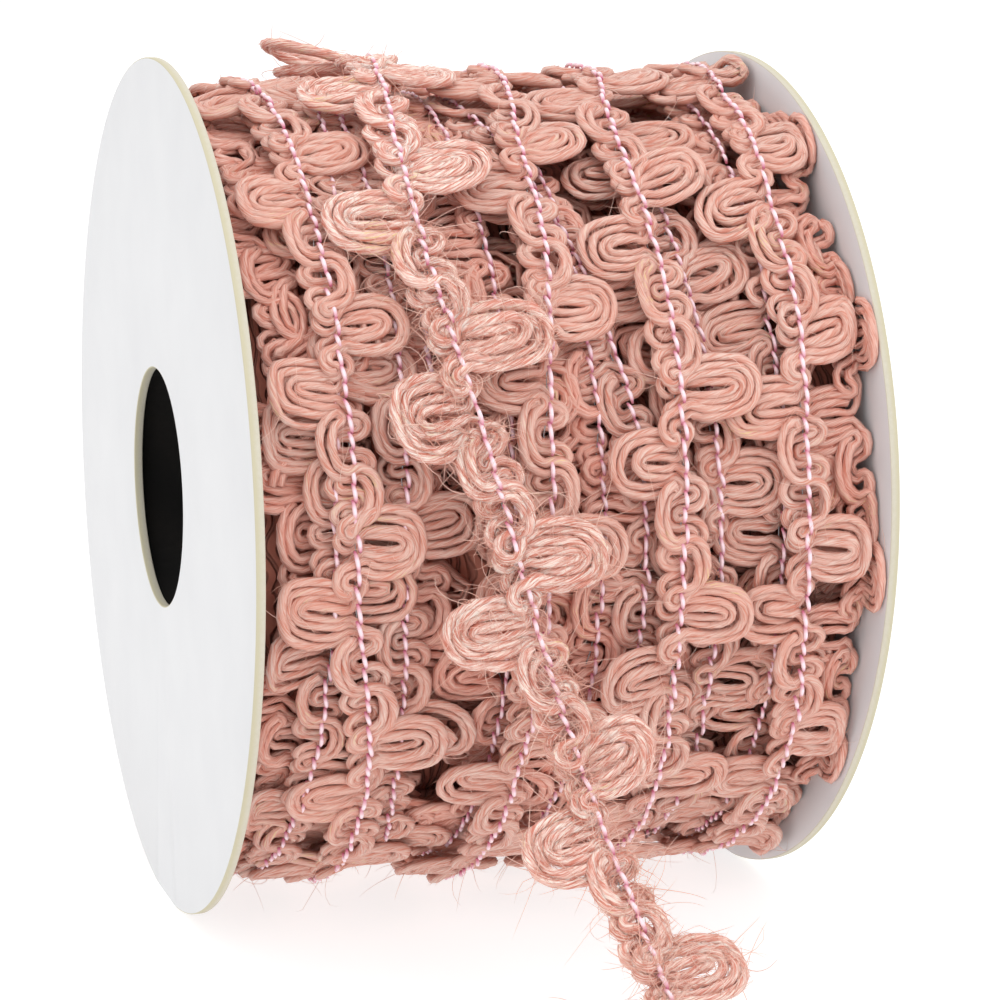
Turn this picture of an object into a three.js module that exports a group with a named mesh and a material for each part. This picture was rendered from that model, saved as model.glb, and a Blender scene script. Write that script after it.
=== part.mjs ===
// Jute loop trim wound on a card reel, with one loose end.
// Millimetres, +Z up. X is the reel's axis, the floor is Z = 0.
// The origin is on the floor under the middle of the reel.
import * as THREE from 'three';

// Card reel
const FLANGE_DIAMETER = 101.6;
const FLANGE_THICKNESS = 1.04;
const HOLE_DIAMETER = 28.6;
const REEL_WIDTH = 73.3;
const FLAT_SPOT_WIDTH = 12;
const CORE_BORE_DIAMETER = 33;
const CORE_WALL = 1.5;
const FLANGE_SEGMENTS = 60;
const CORE_SEGMENTS = 24;

// Trim, tip to tip and along its repeat
const REPEAT = 24.7;
const BAND_HALF_WIDTH = 2.1;
const BAND_HALF_THICKNESS = 1.1;
const PETAL_HALF_THICKNESS = 0.75;
const ROUNDNESS = 2.6;
const SLOT_DEPTH = 0.9;
const SLOT_HALF_WIDTH = 1.1;

// Winding
const CLEARANCE = 0.3;
const FILL_RADIUS = 42.4;
const UNDER_LAYER_RADIUS = 44.6;
const FIRST_ROW_RADIUS = 47;
const TOP_LAYER_RADIUS = 48;
const RELIEF = 5.2;
const FADE_END = 1.28;
const FADE = 0.45;
const FIRST_TURN = -6;
const LAST_TURN = 2;
const RING_STEPS_ROUND = 168;
const RING_STEPS_ACROSS = 32;

// Loose end
const LOOSE_END_STEPS = 180;
const EDGE_MARGIN = 2.7;

const RIM_RADIUS = FLANGE_DIAMETER / 2;
const AXLE_HEIGHT = Math.sqrt(RIM_RADIUS ** 2 - (FLAT_SPOT_WIDTH / 2) ** 2);
const INNER_HALF_WIDTH = REEL_WIDTH / 2 - FLANGE_THICKNESS;
const CORE_RADIUS = CORE_BORE_DIAMETER / 2 + CORE_WALL;
const RING_HALF_WIDTH = INNER_HALF_WIDTH - CLEARANCE;
const RING_BORE_RADIUS = CORE_RADIUS + CLEARANCE;

const degrees = THREE.MathUtils.degToRad;

// One repeat of the trim: loops on the right (+1) and left (-1) of the sewn line.
// at: middle of the loop along the trim, half: half its length along the trim, reach: out from the line.
const LOOPS = [
  { side: +1, at: 0.0, half: 4.2, reach: 9.3 },
  { side: -1, at: 4.0, half: 1.5, reach: 2.8 },
  { side: -1, at: 8.1, half: 4.1, reach: 9.2 },
  { side: +1, at: 11.8, half: 1.4, reach: 2.4 },
  { side: -1, at: 15.0, half: 3.1, reach: 4.3 },
  { side: +1, at: 20.1, half: 3.2, reach: 3.9 },
  { side: -1, at: 21.6, half: 1.6, reach: 2.7 },
  { side: -1, at: 24.0, half: 1.4, reach: 2.6 },
];

// Where the sewn line lies across the reel, turn by turn. wound: degrees wound since the top of the first
// turn of the outer layer, over the top, down the front and round the back. across: X of the line.
// The layer below comes first, from the left flange to the right one.
const LINE = [
  { wound: -2160, across: -19.0 },
  { wound: -2070, across: -27.0 },
  { wound: -1980, across: -29.8 },
  { wound: -1900, across: -29.0 },
  { wound: -1800, across: -25.8 },
  { wound: -1750, across: -25.6 },
  { wound: -1710, across: -25.0 },
  { wound: -1670, across: -21.5 },
  { wound: -1560, across: -19.5 },
  { wound: -1440, across: -17.5 },
  { wound: -1345, across: -19.0 },
  { wound: -1200, across: -9.0 },
  { wound: -1080, across: -3.0 },
  { wound: -990, across: 8.2 },
  { wound: -840, across: 9.5 },
  { wound: -720, across: 13.5 },
  { wound: -630, across: 17.0 },
  { wound: -480, across: 22.0 },
  { wound: -360, across: 26.0 },
  { wound: -270, across: 24.5 },
  { wound: -120, across: 27.0 },
  { wound: 0, across: 31.2 },
  { wound: 25, across: 28.7 },
  { wound: 50, across: 27.3 },
  { wound: 90, across: 26.4 },
  { wound: 130, across: 28.0 },
  { wound: 200, across: 27.0 },
  { wound: 290, across: 21.5 },
  { wound: 360, across: 16.8 },
  { wound: 392, across: 12.1 },
  { wound: 430, across: 12.2 },
  { wound: 460, across: 11.7 },
  { wound: 500, across: 13.0 },
  { wound: 570, across: 11.5 },
  { wound: 650, across: 8.0 },
  { wound: 720, across: 4.5 },
  { wound: 760, across: -0.2 },
  { wound: 800, across: -3.3 },
  { wound: 850, across: -4.7 },
  { wound: 930, across: -6.0 },
  { wound: 1010, across: -6.8 },
  { wound: 1055, across: -7.0 },
];

// Where the big right petals sit along the winding, in degrees wound. Between two rows of the table the
// repeats are spread evenly, and count says how many there are from the row before.
const PETALS = [
  { wound: -2183.2, count: 0 },
  { wound: -1769.6, count: 14 },
  { wound: -1739.9, count: 1 },
  { wound: -1711.4, count: 1 },
  { wound: -1681.2, count: 1 },
  { wound: 32.2, count: 58 },
  { wound: 64.5, count: 1 },
  { wound: 92.3, count: 1 },
  { wound: 121.2, count: 1 },
  { wound: 400, count: 9 },
  { wound: 431.1, count: 1 },
  { wound: 460.4, count: 1 },
  { wound: 750.4, count: 10 },
  { wound: 778.6, count: 1 },
  { wound: 810.1, count: 1 },
  { wound: 838, count: 1 },
  { wound: 1058, count: 8 },
];

// Radius of the sewn line from the axle, by degrees wound.
const LEVELS = [
  { wound: -1900, radius: UNDER_LAYER_RADIUS },
  { wound: -1800, radius: FIRST_ROW_RADIUS },
  { wound: -1660, radius: FIRST_ROW_RADIUS },
  { wound: -1500, radius: UNDER_LAYER_RADIUS },
  { wound: -60, radius: UNDER_LAYER_RADIUS },
  { wound: 0, radius: TOP_LAYER_RADIUS },
  { wound: 1055, radius: TOP_LAYER_RADIUS },
];

// Loose end while it lies on the roll. angle: up from the front, around the axle.
const ON_ROLL = [
  { angle: 115, across: -7.0, radius: 49.0 },
  { angle: 100, across: -8.6, radius: 49.3 },
  { angle: 88, across: -10.5, radius: 49.5 },
  { angle: 77, across: -12.3, radius: 49.6 },
  { angle: 66, across: -13.7, radius: 49.6 },
  { angle: 56, across: -14.7, radius: 49.6 },
  { angle: 46, across: -15.0, radius: 49.6 },
  { angle: 36, across: -14.8, radius: 49.7 },
  { angle: 27, across: -13.6, radius: 50.0 },
  { angle: 18, across: -12.3, radius: 50.5 },
  { angle: 9, across: -10.6, radius: 51.0 },
  { angle: 1, across: -8.9, radius: 51.6 },
];

// Loose end after that, down to the floor and along it.
const OFF_ROLL = [
  { x: -6.9, y: -52.6, z: 43.3 },
  { x: -5.2, y: -54.2, z: 35.9 },
  { x: -3.6, y: -57.4, z: 28.0 },
  { x: -2.3, y: -61.3, z: 22.1 },
  { x: -1.3, y: -66.2, z: 16.4 },
  { x: -0.6, y: -71.7, z: 11.4 },
  { x: -0.1, y: -78.0, z: 7.0 },
  { x: 0.5, y: -85.5, z: 3.6 },
  { x: 1.4, y: -94.0, z: 1.75 },
  { x: 2.3, y: -103.0, z: 1.3 },
  { x: 2.7, y: -110.0, z: 1.3 },
];

// The big left petal behind the top stands off the roll.
const RAISED_PETAL = { at: 10.8, reach: 12.6, lift: 4.2 };

// Millimetres along the loose end of its big right petals.
const LOOSE_PETALS = [2.8, 27.5, 52.0, 75.5, 100.1, 123.8, 148.2, 172.9];

// Value at a place in a table, smooth between its rows.
function readTable(table, key, value, at) {
  let row = 1;
  while (row < table.length - 1 && table[row][key] < at) {
    row += 1;
  }
  const before = table[row - 1];
  const after = table[row];
  const share = THREE.MathUtils.clamp((at - before[key]) / (after[key] - before[key]), 0, 1);
  return THREE.MathUtils.lerp(before[value], after[value], THREE.MathUtils.smoothstep(share, 0, 1));
}

// Place in the repeat, in millimetres from the big right petal, at a number of degrees wound.
function placeInRepeat(wound) {
  let row = 1;
  while (row < PETALS.length - 1 && PETALS[row].wound < wound) {
    row += 1;
  }
  const before = PETALS[row - 1];
  const after = PETALS[row];
  const repeats = ((wound - before.wound) / (after.wound - before.wound)) * after.count;
  return THREE.MathUtils.euclideanModulo(repeats, 1) * REPEAT;
}

// Half width of the trim on one side of its sewn line.
function halfWidth(place, side) {
  let width = BAND_HALF_WIDTH;
  for (const loop of LOOPS) {
    if (loop.side === side) {
      const gap = THREE.MathUtils.euclideanModulo(place - loop.at + REPEAT / 2, REPEAT) - REPEAT / 2;
      const share = 1 - Math.abs(gap / loop.half) ** ROUNDNESS;
      if (share > 0) {
        width = Math.max(width, loop.reach * Math.sqrt(share));
      }
    }
  }
  return width;
}

// How far the trim stands up at a place beside its sewn line: 1 on a loop or the band, less past its edge.
function trimCover(place, off) {
  let cover = THREE.MathUtils.smoothstep(FADE_END - Math.abs(off) / BAND_HALF_WIDTH, 0, FADE);
  for (const loop of LOOPS) {
    const alongGap = THREE.MathUtils.euclideanModulo(place - loop.at + REPEAT / 2, REPEAT) - REPEAT / 2;
    const acrossGap = loop.side * off - loop.reach / 2;
    const distance = Math.hypot(alongGap / loop.half, acrossGap / (loop.reach / 2));
    cover = Math.max(cover, THREE.MathUtils.smoothstep(FADE_END - distance, 0, FADE));
  }
  return cover;
}

// Depth of the slot in the middle of a big petal, which its innermost yarn runs around.
function slotDepth(place, off) {
  let depth = 0;
  for (const loop of LOOPS.filter(({ reach }) => reach > 9)) {
    const alongGap = THREE.MathUtils.euclideanModulo(place - loop.at + REPEAT / 2, REPEAT) - REPEAT / 2;
    const acrossGap = loop.side * off - loop.reach * 0.58;
    const distance = Math.hypot(alongGap / SLOT_HALF_WIDTH, acrossGap / (loop.reach * 0.25));
    depth = Math.max(depth, SLOT_DEPTH * THREE.MathUtils.smoothstep(FADE_END - distance, 0, FADE));
  }
  return depth;
}

// Route of the loose end as one smooth curve.
function looseEndCurve() {
  const points = ON_ROLL.map(({ angle, across, radius }) => {
    const turn = degrees(angle);
    return new THREE.Vector3(across, -radius * Math.cos(turn), AXLE_HEIGHT + radius * Math.sin(turn));
  });
  OFF_ROLL.forEach(({ x, y, z }) => points.push(new THREE.Vector3(x, y, z)));
  const curve = new THREE.CatmullRomCurve3(points, false, 'centripetal');
  curve.arcLengthDivisions = 2000;
  return curve;
}

// Place in the repeat along the loose end.
function loosePlace(along) {
  let row = 1;
  while (row < LOOSE_PETALS.length - 1 && LOOSE_PETALS[row] < along) {
    row += 1;
  }
  const repeats = (along - LOOSE_PETALS[row - 1]) / (LOOSE_PETALS[row] - LOOSE_PETALS[row - 1]);
  return THREE.MathUtils.euclideanModulo(repeats, 1) * REPEAT;
}

// Half width and lift of the loose end's edge on one side.
function looseEdge(along, side) {
  let width = halfWidth(loosePlace(along), side);
  let lift = 0;
  if (side < 0) {
    const share = 1 - ((along - RAISED_PETAL.at) / LOOPS[2].half) ** 2;
    if (share > 0) {
      width = Math.max(width, RAISED_PETAL.reach * Math.sqrt(share));
      lift = RAISED_PETAL.lift * Math.sqrt(share);
    }
  }
  return { width, lift };
}

// Closed mesh from rings of points, each ring joined to the next.
function lofted(rings, closed) {
  const count = rings[0].length;
  const positions = [];
  const index = [];
  rings.forEach((ring) => ring.forEach((point) => positions.push(point.x, point.y, point.z)));
  const joints = closed ? rings.length : rings.length - 1;
  for (let i = 0; i < joints; i += 1) {
    const here = i * count;
    const next = ((i + 1) % rings.length) * count;
    for (let j = 0; j < count; j += 1) {
      const k = (j + 1) % count;
      index.push(here + j, next + j, next + k);
      index.push(here + j, next + k, here + k);
    }
  }
  if (!closed) {
    const last = (rings.length - 1) * count;
    for (let j = 1; j < count - 1; j += 1) {
      index.push(0, j, j + 1);
      index.push(last, last + j + 1, last + j);
    }
  }
  const geometry = new THREE.BufferGeometry();
  geometry.setAttribute('position', new THREE.Float32BufferAttribute(positions, 3));
  geometry.setIndex(index);
  geometry.computeVertexNormals();
  return geometry;
}

// Turns a shape drawn in the plane of a flange so that its depth runs along the reel's axis.
function alongAxle(geometry, from) {
  const turn = new THREE.Matrix4().makeBasis(
    new THREE.Vector3(0, 1, 0),
    new THREE.Vector3(0, 0, 1),
    new THREE.Vector3(1, 0, 0),
  );
  geometry.applyMatrix4(turn);
  geometry.translate(from, 0, AXLE_HEIGHT);
  return geometry;
}

// Card disc with its hole, and a small flat spot on the rim where the reel stands.
function flangeGeometry(from) {
  const half = Math.asin(FLAT_SPOT_WIDTH / 2 / RIM_RADIUS);
  const disc = new THREE.Shape();
  disc.absarc(0, 0, RIM_RADIUS, -Math.PI / 2 + half, 1.5 * Math.PI - half, false);
  disc.closePath();
  const hole = new THREE.Path();
  hole.absarc(0, 0, HOLE_DIAMETER / 2, 0, 2 * Math.PI, true);
  disc.holes.push(hole);
  const settings = { depth: FLANGE_THICKNESS, bevelEnabled: false, curveSegments: FLANGE_SEGMENTS };
  return alongAxle(new THREE.ExtrudeGeometry(disc, settings), from);
}

// Card tube that keeps the two flanges apart.
function coreGeometry() {
  const wall = new THREE.Shape();
  wall.absarc(0, 0, CORE_RADIUS, 0, 2 * Math.PI, false);
  const bore = new THREE.Path();
  bore.absarc(0, 0, CORE_BORE_DIAMETER / 2, 0, 2 * Math.PI, true);
  wall.holes.push(bore);
  const length = 2 * RING_HALF_WIDTH;
  const settings = { depth: length, bevelEnabled: false, curveSegments: CORE_SEGMENTS };
  return alongAxle(new THREE.ExtrudeGeometry(wall, settings), -RING_HALF_WIDTH);
}

// Samples of the loose end's footprint on the roll, which the turns below it make room for.
function footprint(curve) {
  const length = curve.getLength();
  const samples = [];
  for (let along = 0; along < length; along += 1) {
    const point = curve.getPointAt(along / length);
    const angle = Math.atan2(point.z - AXLE_HEIGHT, -point.y);
    const radius = Math.hypot(point.y, point.z - AXLE_HEIGHT);
    if (radius < RIM_RADIUS + 1) {
      samples.push({ along, angle, radius, across: point.x });
    }
  }
  return samples;
}

// Radius of the winding's face at an angle and a place across the reel.
function windingRadius(angle, across, samples) {
  let radius = FILL_RADIUS;
  const fromTop = 90 - THREE.MathUtils.radToDeg(angle);
  for (let turn = FIRST_TURN; turn <= LAST_TURN; turn += 1) {
    const wound = fromTop + 360 * turn;
    if (wound >= LINE[0].wound && wound <= LINE[LINE.length - 1].wound) {
      const place = placeInRepeat(wound);
      const off = across - readTable(LINE, 'wound', 'across', wound);
      const face = readTable(LEVELS, 'wound', 'radius', wound) + BAND_HALF_THICKNESS;
      const relief = RELIEF * (1 - trimCover(place, off)) + slotDepth(place, off);
      radius = Math.max(radius, face - relief);
    }
  }
  for (const sample of samples) {
    const turn = THREE.MathUtils.euclideanModulo(angle - sample.angle + Math.PI, 2 * Math.PI) - Math.PI;
    const off = across - sample.across;
    const edge = looseEdge(sample.along, off < 0 ? -1 : 1);
    if (Math.abs(turn) * sample.radius < EDGE_MARGIN && Math.abs(off) < edge.width + EDGE_MARGIN) {
      radius = Math.min(radius, sample.radius - BAND_HALF_THICKNESS - 2 * CLEARANCE);
    }
  }
  return radius;
}

// The wound trim: a ring whose outer face carries the rows, petals and waves.
function windingGeometry(curve) {
  const samples = footprint(curve);
  const rings = [];
  for (let i = 0; i < RING_STEPS_ROUND; i += 1) {
    const angle = (2 * Math.PI * i) / RING_STEPS_ROUND;
    const outward = new THREE.Vector3(0, -Math.cos(angle), Math.sin(angle));
    const ring = [];
    const place = (across, radius) => {
      ring.push(new THREE.Vector3(across, 0, AXLE_HEIGHT).addScaledVector(outward, radius));
    };
    place(-RING_HALF_WIDTH, RING_BORE_RADIUS);
    place(RING_HALF_WIDTH, RING_BORE_RADIUS);
    for (let j = 0; j <= RING_STEPS_ACROSS; j += 1) {
      const across = THREE.MathUtils.lerp(RING_HALF_WIDTH, -RING_HALF_WIDTH, j / RING_STEPS_ACROSS);
      place(across, windingRadius(angle, across, samples));
    }
    rings.push(ring);
  }
  return lofted(rings, true);
}

// Section of the loose end. side: left (-1) or right (+1) of the sewn line, part: share of the way out to the
// edge, level: height from the middle plane.
const SECTION = [
  { side: -1, part: 1.0, level: 0 },
  { side: -1, part: 0.85, level: PETAL_HALF_THICKNESS },
  { side: -1, part: 0.3, level: BAND_HALF_THICKNESS },
  { side: +1, part: 0.3, level: BAND_HALF_THICKNESS },
  { side: +1, part: 0.85, level: PETAL_HALF_THICKNESS },
  { side: +1, part: 1.0, level: 0 },
  { side: +1, part: 0.85, level: -PETAL_HALF_THICKNESS },
  { side: +1, part: 0.3, level: -BAND_HALF_THICKNESS },
  { side: -1, part: 0.3, level: -BAND_HALF_THICKNESS },
  { side: -1, part: 0.85, level: -PETAL_HALF_THICKNESS },
];

// The loose end: a flat band that follows its route, with the petals standing out at its edges.
function looseEndGeometry(curve) {
  const length = curve.getLength();
  const rings = [];
  for (let i = 0; i <= LOOSE_END_STEPS; i += 1) {
    const share = i / LOOSE_END_STEPS;
    const point = curve.getPointAt(share);
    const ahead = curve.getTangentAt(share);
    const right = new THREE.Vector3(1, 0, 0).addScaledVector(ahead, -ahead.x).normalize();
    const outward = new THREE.Vector3().crossVectors(ahead, right).normalize();
    rings.push(SECTION.map(({ side, part, level }) => {
      const edge = looseEdge(share * length, side);
      return point.clone()
        .addScaledVector(right, side * edge.width * part)
        .addScaledVector(outward, level + edge.lift * part ** 2);
    }));
  }
  return lofted(rings, false);
}

function piece(name, geometry, settings) {
  const mesh = new THREE.Mesh(geometry, new THREE.MeshStandardMaterial({ metalness: 0, ...settings }));
  mesh.name = name;
  return mesh;
}

const card = { color: 0xe9e8ea, roughness: 0.45 };
const board = { color: 0x6a5f57, roughness: 0.9 };
const jute = { color: 0xd39a88, roughness: 0.95 };

const curve = looseEndCurve();
const reel = new THREE.Group();
reel.add(piece('flange_left', flangeGeometry(-REEL_WIDTH / 2), card));
reel.add(piece('flange_right', flangeGeometry(INNER_HALF_WIDTH), card));
reel.add(piece('core_tube', coreGeometry(), board));

const trim = new THREE.Group();
trim.add(piece('wound_trim', windingGeometry(curve), jute));
trim.add(piece('loose_end', looseEndGeometry(curve), jute));

const model = new THREE.Group();
model.add(reel, trim);

export default model;
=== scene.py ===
"""Jute loop trim wound on a card reel, with one loose end that hangs down to the floor.

+Z is up, X is the reel's axle and the floor is Z = 0. Sizes are in millimetres and are turned to
metres when a mesh is made. The trim is first drawn flat, as yarns beside a straight sewn line, and
is then laid along the route of that line, round the reel and down to the floor.
"""

import logging
import math
from dataclasses import dataclass, field, replace
from enum import Enum

import bpy
import numpy as np
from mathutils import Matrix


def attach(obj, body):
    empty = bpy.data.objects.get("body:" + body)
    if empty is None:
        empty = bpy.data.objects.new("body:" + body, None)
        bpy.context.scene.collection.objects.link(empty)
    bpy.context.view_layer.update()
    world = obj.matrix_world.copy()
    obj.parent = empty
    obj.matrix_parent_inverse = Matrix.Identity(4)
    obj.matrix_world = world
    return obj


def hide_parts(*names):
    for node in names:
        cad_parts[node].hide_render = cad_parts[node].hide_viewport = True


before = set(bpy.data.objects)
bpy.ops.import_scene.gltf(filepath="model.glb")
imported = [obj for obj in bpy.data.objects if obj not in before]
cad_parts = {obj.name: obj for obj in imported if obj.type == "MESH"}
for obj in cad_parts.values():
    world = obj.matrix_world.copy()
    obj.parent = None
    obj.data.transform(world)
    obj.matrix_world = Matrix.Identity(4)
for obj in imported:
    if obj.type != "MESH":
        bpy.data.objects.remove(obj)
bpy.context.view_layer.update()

Array = np.ndarray
Material = bpy.types.Material
Node = bpy.types.Node
Object = bpy.types.Object
Socket = bpy.types.NodeSocket
Tree = bpy.types.NodeTree
Rng = np.random.Generator

# About how far a number strays from 0 along a line, and the distance over which it changes
Wander = tuple[float, float]

log = logging.getLogger("jute_trim")

MM = 0.001
FULL_TURN = 2 * math.pi

# The wave texture's bands turn this many radians for each unit of its scale
WAVE_RATE = 20

# Card reel
FLANGE_DIAMETER = 101.6
FLAT_SPOT_WIDTH = 12.0
REEL_WIDTH = 73.3
FLANGE_THICKNESS = 1.04
RIM_RADIUS = FLANGE_DIAMETER / 2
AXLE_HEIGHT = math.sqrt(RIM_RADIUS**2 - (FLAT_SPOT_WIDTH / 2) ** 2)
INNER_HALF_WIDTH = REEL_WIDTH / 2 - FLANGE_THICKNESS

# One repeat of the trim, along its sewn line
REPEAT = 24.7

# Where the sewn line lies on the reel: degrees wound since the top of the first turn of the outer
# layer, and X of the line
LINE = (
    (-2160, -19.0), (-2070, -27.0), (-1980, -29.8), (-1900, -29.0), (-1800, -25.8), (-1750, -25.6),
    (-1710, -25.0), (-1670, -21.5), (-1560, -19.5), (-1440, -17.5), (-1345, -19.0), (-1200, -9.0),
    (-1080, -3.0), (-990, 8.2), (-840, 9.5), (-720, 13.5), (-630, 17.0), (-480, 22.0), (-360, 26.0),
    (-270, 24.5), (-120, 27.0), (0, 31.2), (25, 28.7), (50, 27.3), (90, 26.4), (130, 28.0),
    (200, 27.0), (290, 21.5), (360, 16.8), (392, 12.1), (430, 12.2), (460, 11.7), (500, 13.0),
    (570, 11.5), (650, 8.0), (720, 4.5), (760, -0.2), (800, -3.3), (850, -4.7), (930, -6.0),
    (1010, -6.8), (1055, -7.0),
)

# Degrees wound, and repeats of the trim passed since the first row
REPEATS_WOUND = (
    (-2183.2, 0), (-1769.6, 14), (-1739.9, 15), (-1711.4, 16), (-1681.2, 17), (-263.2, 64.5), (32.2, 75),
    (64.5, 76), (92.3, 77), (121.2, 78), (400, 87), (431.1, 88), (460.4, 89), (750.4, 99), (778.6, 100),
    (810.1, 101), (838, 102), (1058, 110),
)

# Degrees wound, and radius of the sewn line from the axle
LEVELS = (
    (-1900, 45.5), (-1800, 47.0), (-1660, 47.0), (-1500, 45.5), (-60, 45.5), (0, 48.0), (1000, 48.0),
    (1055, 49.0),
)

# Loose end while it lies on the roll: angle up from the front, X, and radius
ON_ROLL = (
    (115, -7.0, 49.0), (100, -8.6, 49.3), (88, -10.5, 49.5), (77, -12.3, 49.6), (66, -13.7, 49.6),
    (56, -14.7, 49.6), (46, -15.0, 49.6), (36, -14.8, 49.7), (27, -13.6, 50.0), (18, -12.3, 50.5),
    (9, -10.6, 51.0), (1, -8.9, 51.6),
)

# Loose end after that, down to the floor and along it: X, Y and Z
OFF_ROLL = (
    (-6.9, -52.6, 43.3), (-5.2, -54.2, 35.9), (-3.6, -57.4, 28.0), (-2.3, -61.3, 22.1),
    (-1.3, -66.2, 16.4), (-0.6, -71.7, 11.4), (-0.1, -78.0, 7.0), (0.5, -85.5, 3.6),
    (1.4, -94.0, 1.75), (2.3, -103.0, 1.3), (2.7, -110.0, 1.3),
)

# Millimetres along the loose end of its big right petals, and the repeat of the first one
LOOSE_PETALS = (2.8, 30.0, 54.6, 77.9, 101.9, 125.5, 150.0, 174.7)
FIRST_LOOSE_REPEAT = 110

# Points of the sewn line: how many between two rows of the loose end's tables, how many millimetres
# apart they then lie there, and how many degrees apart on the roll
LOOSE_SAMPLES = 60
LOOSE_STEP = 0.5
WOUND_STEP = 0.5

# How close together a yarn's points lie: where it is straight, how much closer for each 1/mm of
# bend, and the sharpest bend that counts
STRAIGHT_CLOSENESS = 0.4
BEND_CLOSENESS = 1.1
SHARPEST_BEND = 1.6


class Side(Enum):
    """Side of the sewn line, with the trim running down the front of the reel."""

    LEFT = -1
    RIGHT = 1


class Slot(Enum):
    """Material slots of the record."""

    CARD = "card"
    BOARD = "board"
    JUTE = "jute"
    THREAD = "thread"
    WIRE = "wire"


def linear(colour: str) -> tuple[float, float, float, float]:
    """Turns a colour as seen on a screen into the linear one that a shader takes.

    Args:
        colour: sRGB colour as #RRGGBB.

    Returns:
        Linear red, green, blue, and an alpha of 1.
    """
    levels = [int(colour[i : i + 2], 16) / 255 for i in (1, 3, 5)]
    red, green, blue = [c / 12.92 if c <= 0.04045 else ((c + 0.055) / 1.055) ** 2.4 for c in levels]
    return red, green, blue, 1.0


def per(size: float) -> float:
    """Gives the scale of a pattern that comes back once in so many millimetres."""
    return 1 / (size * MM)


def unit(vectors: Array) -> Array:
    """Gives vectors along the last axis the length 1."""
    return vectors / np.maximum(np.linalg.norm(vectors, axis=-1, keepdims=True), 1e-9)


def read_table(table: tuple[tuple[float, float], ...], at: Array) -> Array:
    """Reads a table of two columns, smooth between its rows.

    Args:
        table: Rows of a place and its value, in order of place.
        at: Places to read.

    Returns:
        The values at those places.
    """
    places, values = np.array(table, float).T
    row = np.clip(np.searchsorted(places, at), 1, len(places) - 1)
    share = np.clip((at - places[row - 1]) / (places[row] - places[row - 1]), 0, 1)
    share = share * share * (3 - 2 * share)
    return values[row - 1] + (values[row] - values[row - 1]) * share


def smooth_curve(points: Array, samples: int) -> Array:
    """Runs a smooth centripetal curve through points.

    Args:
        points: The points, one a row.
        samples: Samples between two neighbouring points.

    Returns:
        Points along the curve, the given ones among them.
    """
    first = 2 * points[:1] - points[1:2]
    last = 2 * points[-1:] - points[-2:-1]
    p = np.concatenate([first, points, last])
    gaps = np.maximum(np.linalg.norm(np.diff(p, axis=0), axis=1) ** 0.5, 1e-4)[:, None]
    before, here, after = gaps[:-2], gaps[1:-1], gaps[2:]
    a, b, c, d = p[:-3], p[1:-2], p[2:-1], p[3:]
    leave = ((b - a) / before - (c - a) / (before + here) + (c - b) / here) * here
    reach = ((c - b) / here - (d - b) / (here + after) + (d - c) / after) * here
    t = np.arange(samples)[None, :, None] / samples
    b, c, leave, reach = b[:, None], c[:, None], leave[:, None], reach[:, None]
    curve = b + leave * t + (3 * (c - b) - 2 * leave - reach) * t**2 + (2 * (b - c) + leave + reach) * t**3
    return np.concatenate([curve.reshape(-1, points.shape[1]), points[-1:]])


def lengths_along(points: Array) -> Array:
    """Measures how far along a line each of its points lies."""
    return np.concatenate([[0.0], np.cumsum(np.linalg.norm(np.diff(points, axis=0), axis=1))])


def spaced(points: Array, step: float) -> Array:
    """Spaces the points of a line evenly.

    Args:
        points: The line's points, one a row.
        step: Distance between the new points.

    Returns:
        The line again, with its points about a step apart.
    """
    along = lengths_along(points)
    at = np.linspace(0, along[-1], max(3, round(along[-1] / step) + 1))
    return np.stack([np.interp(at, along, column) for column in points.T], axis=1)


def spaced_by_bend(points: Array, step: float) -> Array:
    """Spaces the points of a line closer together where it bends and wider where it is straight.

    Args:
        points: The line's points close together, one a row, with what else belongs to them after
            the first three columns.
        step: Distance between the new points where the line bends with a radius of 1.8 mm.

    Returns:
        The line again, with fewer points.
    """
    along = lengths_along(points[:, :3])
    ahead = unit(np.gradient(points[:, :3], axis=0))
    bend = np.linalg.norm(np.gradient(ahead, axis=0), axis=1) / np.gradient(along)
    closeness = STRAIGHT_CLOSENESS + BEND_CLOSENESS * np.minimum(bend, SHARPEST_BEND)
    passed = np.concatenate([[0.0], np.cumsum((closeness[1:] + closeness[:-1]) / 2 * np.diff(along))])
    marks = np.linspace(0, passed[-1], max(3, round(passed[-1] / step) + 1))
    at = np.interp(marks, passed, along)
    return np.stack([np.interp(at, along, column) for column in points.T], axis=1)


def drift(rng: Rng, wander: Wander, at: Array) -> Array:
    """Draws a number that changes slowly and at random along a line.

    Args:
        rng: Source of random numbers.
        wander: How the number wanders.
        at: Places along the line, from its start to its end.

    Returns:
        The numbers at those places.
    """
    size, spacing = wander
    knots = np.arange(-spacing, at[-1] + 2 * spacing, spacing)
    return size * np.interp(at, knots, rng.normal(size=len(knots)))


def round_axle(across: Array, radius: Array, turn: Array) -> Array:
    """Places points round the reel's axle.

    Args:
        across: X of each point.
        radius: Distance of each point from the axle.
        turn: Angle of each point in radians, up from the front.

    Returns:
        The points.
    """
    places = (across, -radius * np.cos(turn), AXLE_HEIGHT + radius * np.sin(turn))
    return np.stack(np.broadcast_arrays(*places), axis=-1)


def add_node(tree: Tree, kind: str, inputs: dict[str | int, object] | None = None, **settings: str) -> Node:
    """Adds a node with its settings and links.

    Args:
        tree: The material's node tree.
        kind: The node's type, without ShaderNode in front.
        inputs: By name or number of each input, its value, or the node or socket that feeds it.
        settings: Properties of the node.

    Returns:
        The new node.
    """
    node = tree.nodes.new("ShaderNode" + kind)
    for name, value in settings.items():
        setattr(node, name, value)
    for name, value in (inputs or {}).items():
        source = value.outputs[0] if isinstance(value, Node) else value
        if isinstance(source, Socket):
            tree.links.new(source, node.inputs[name])
        else:
            node.inputs[name].default_value = source
    return node


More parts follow.
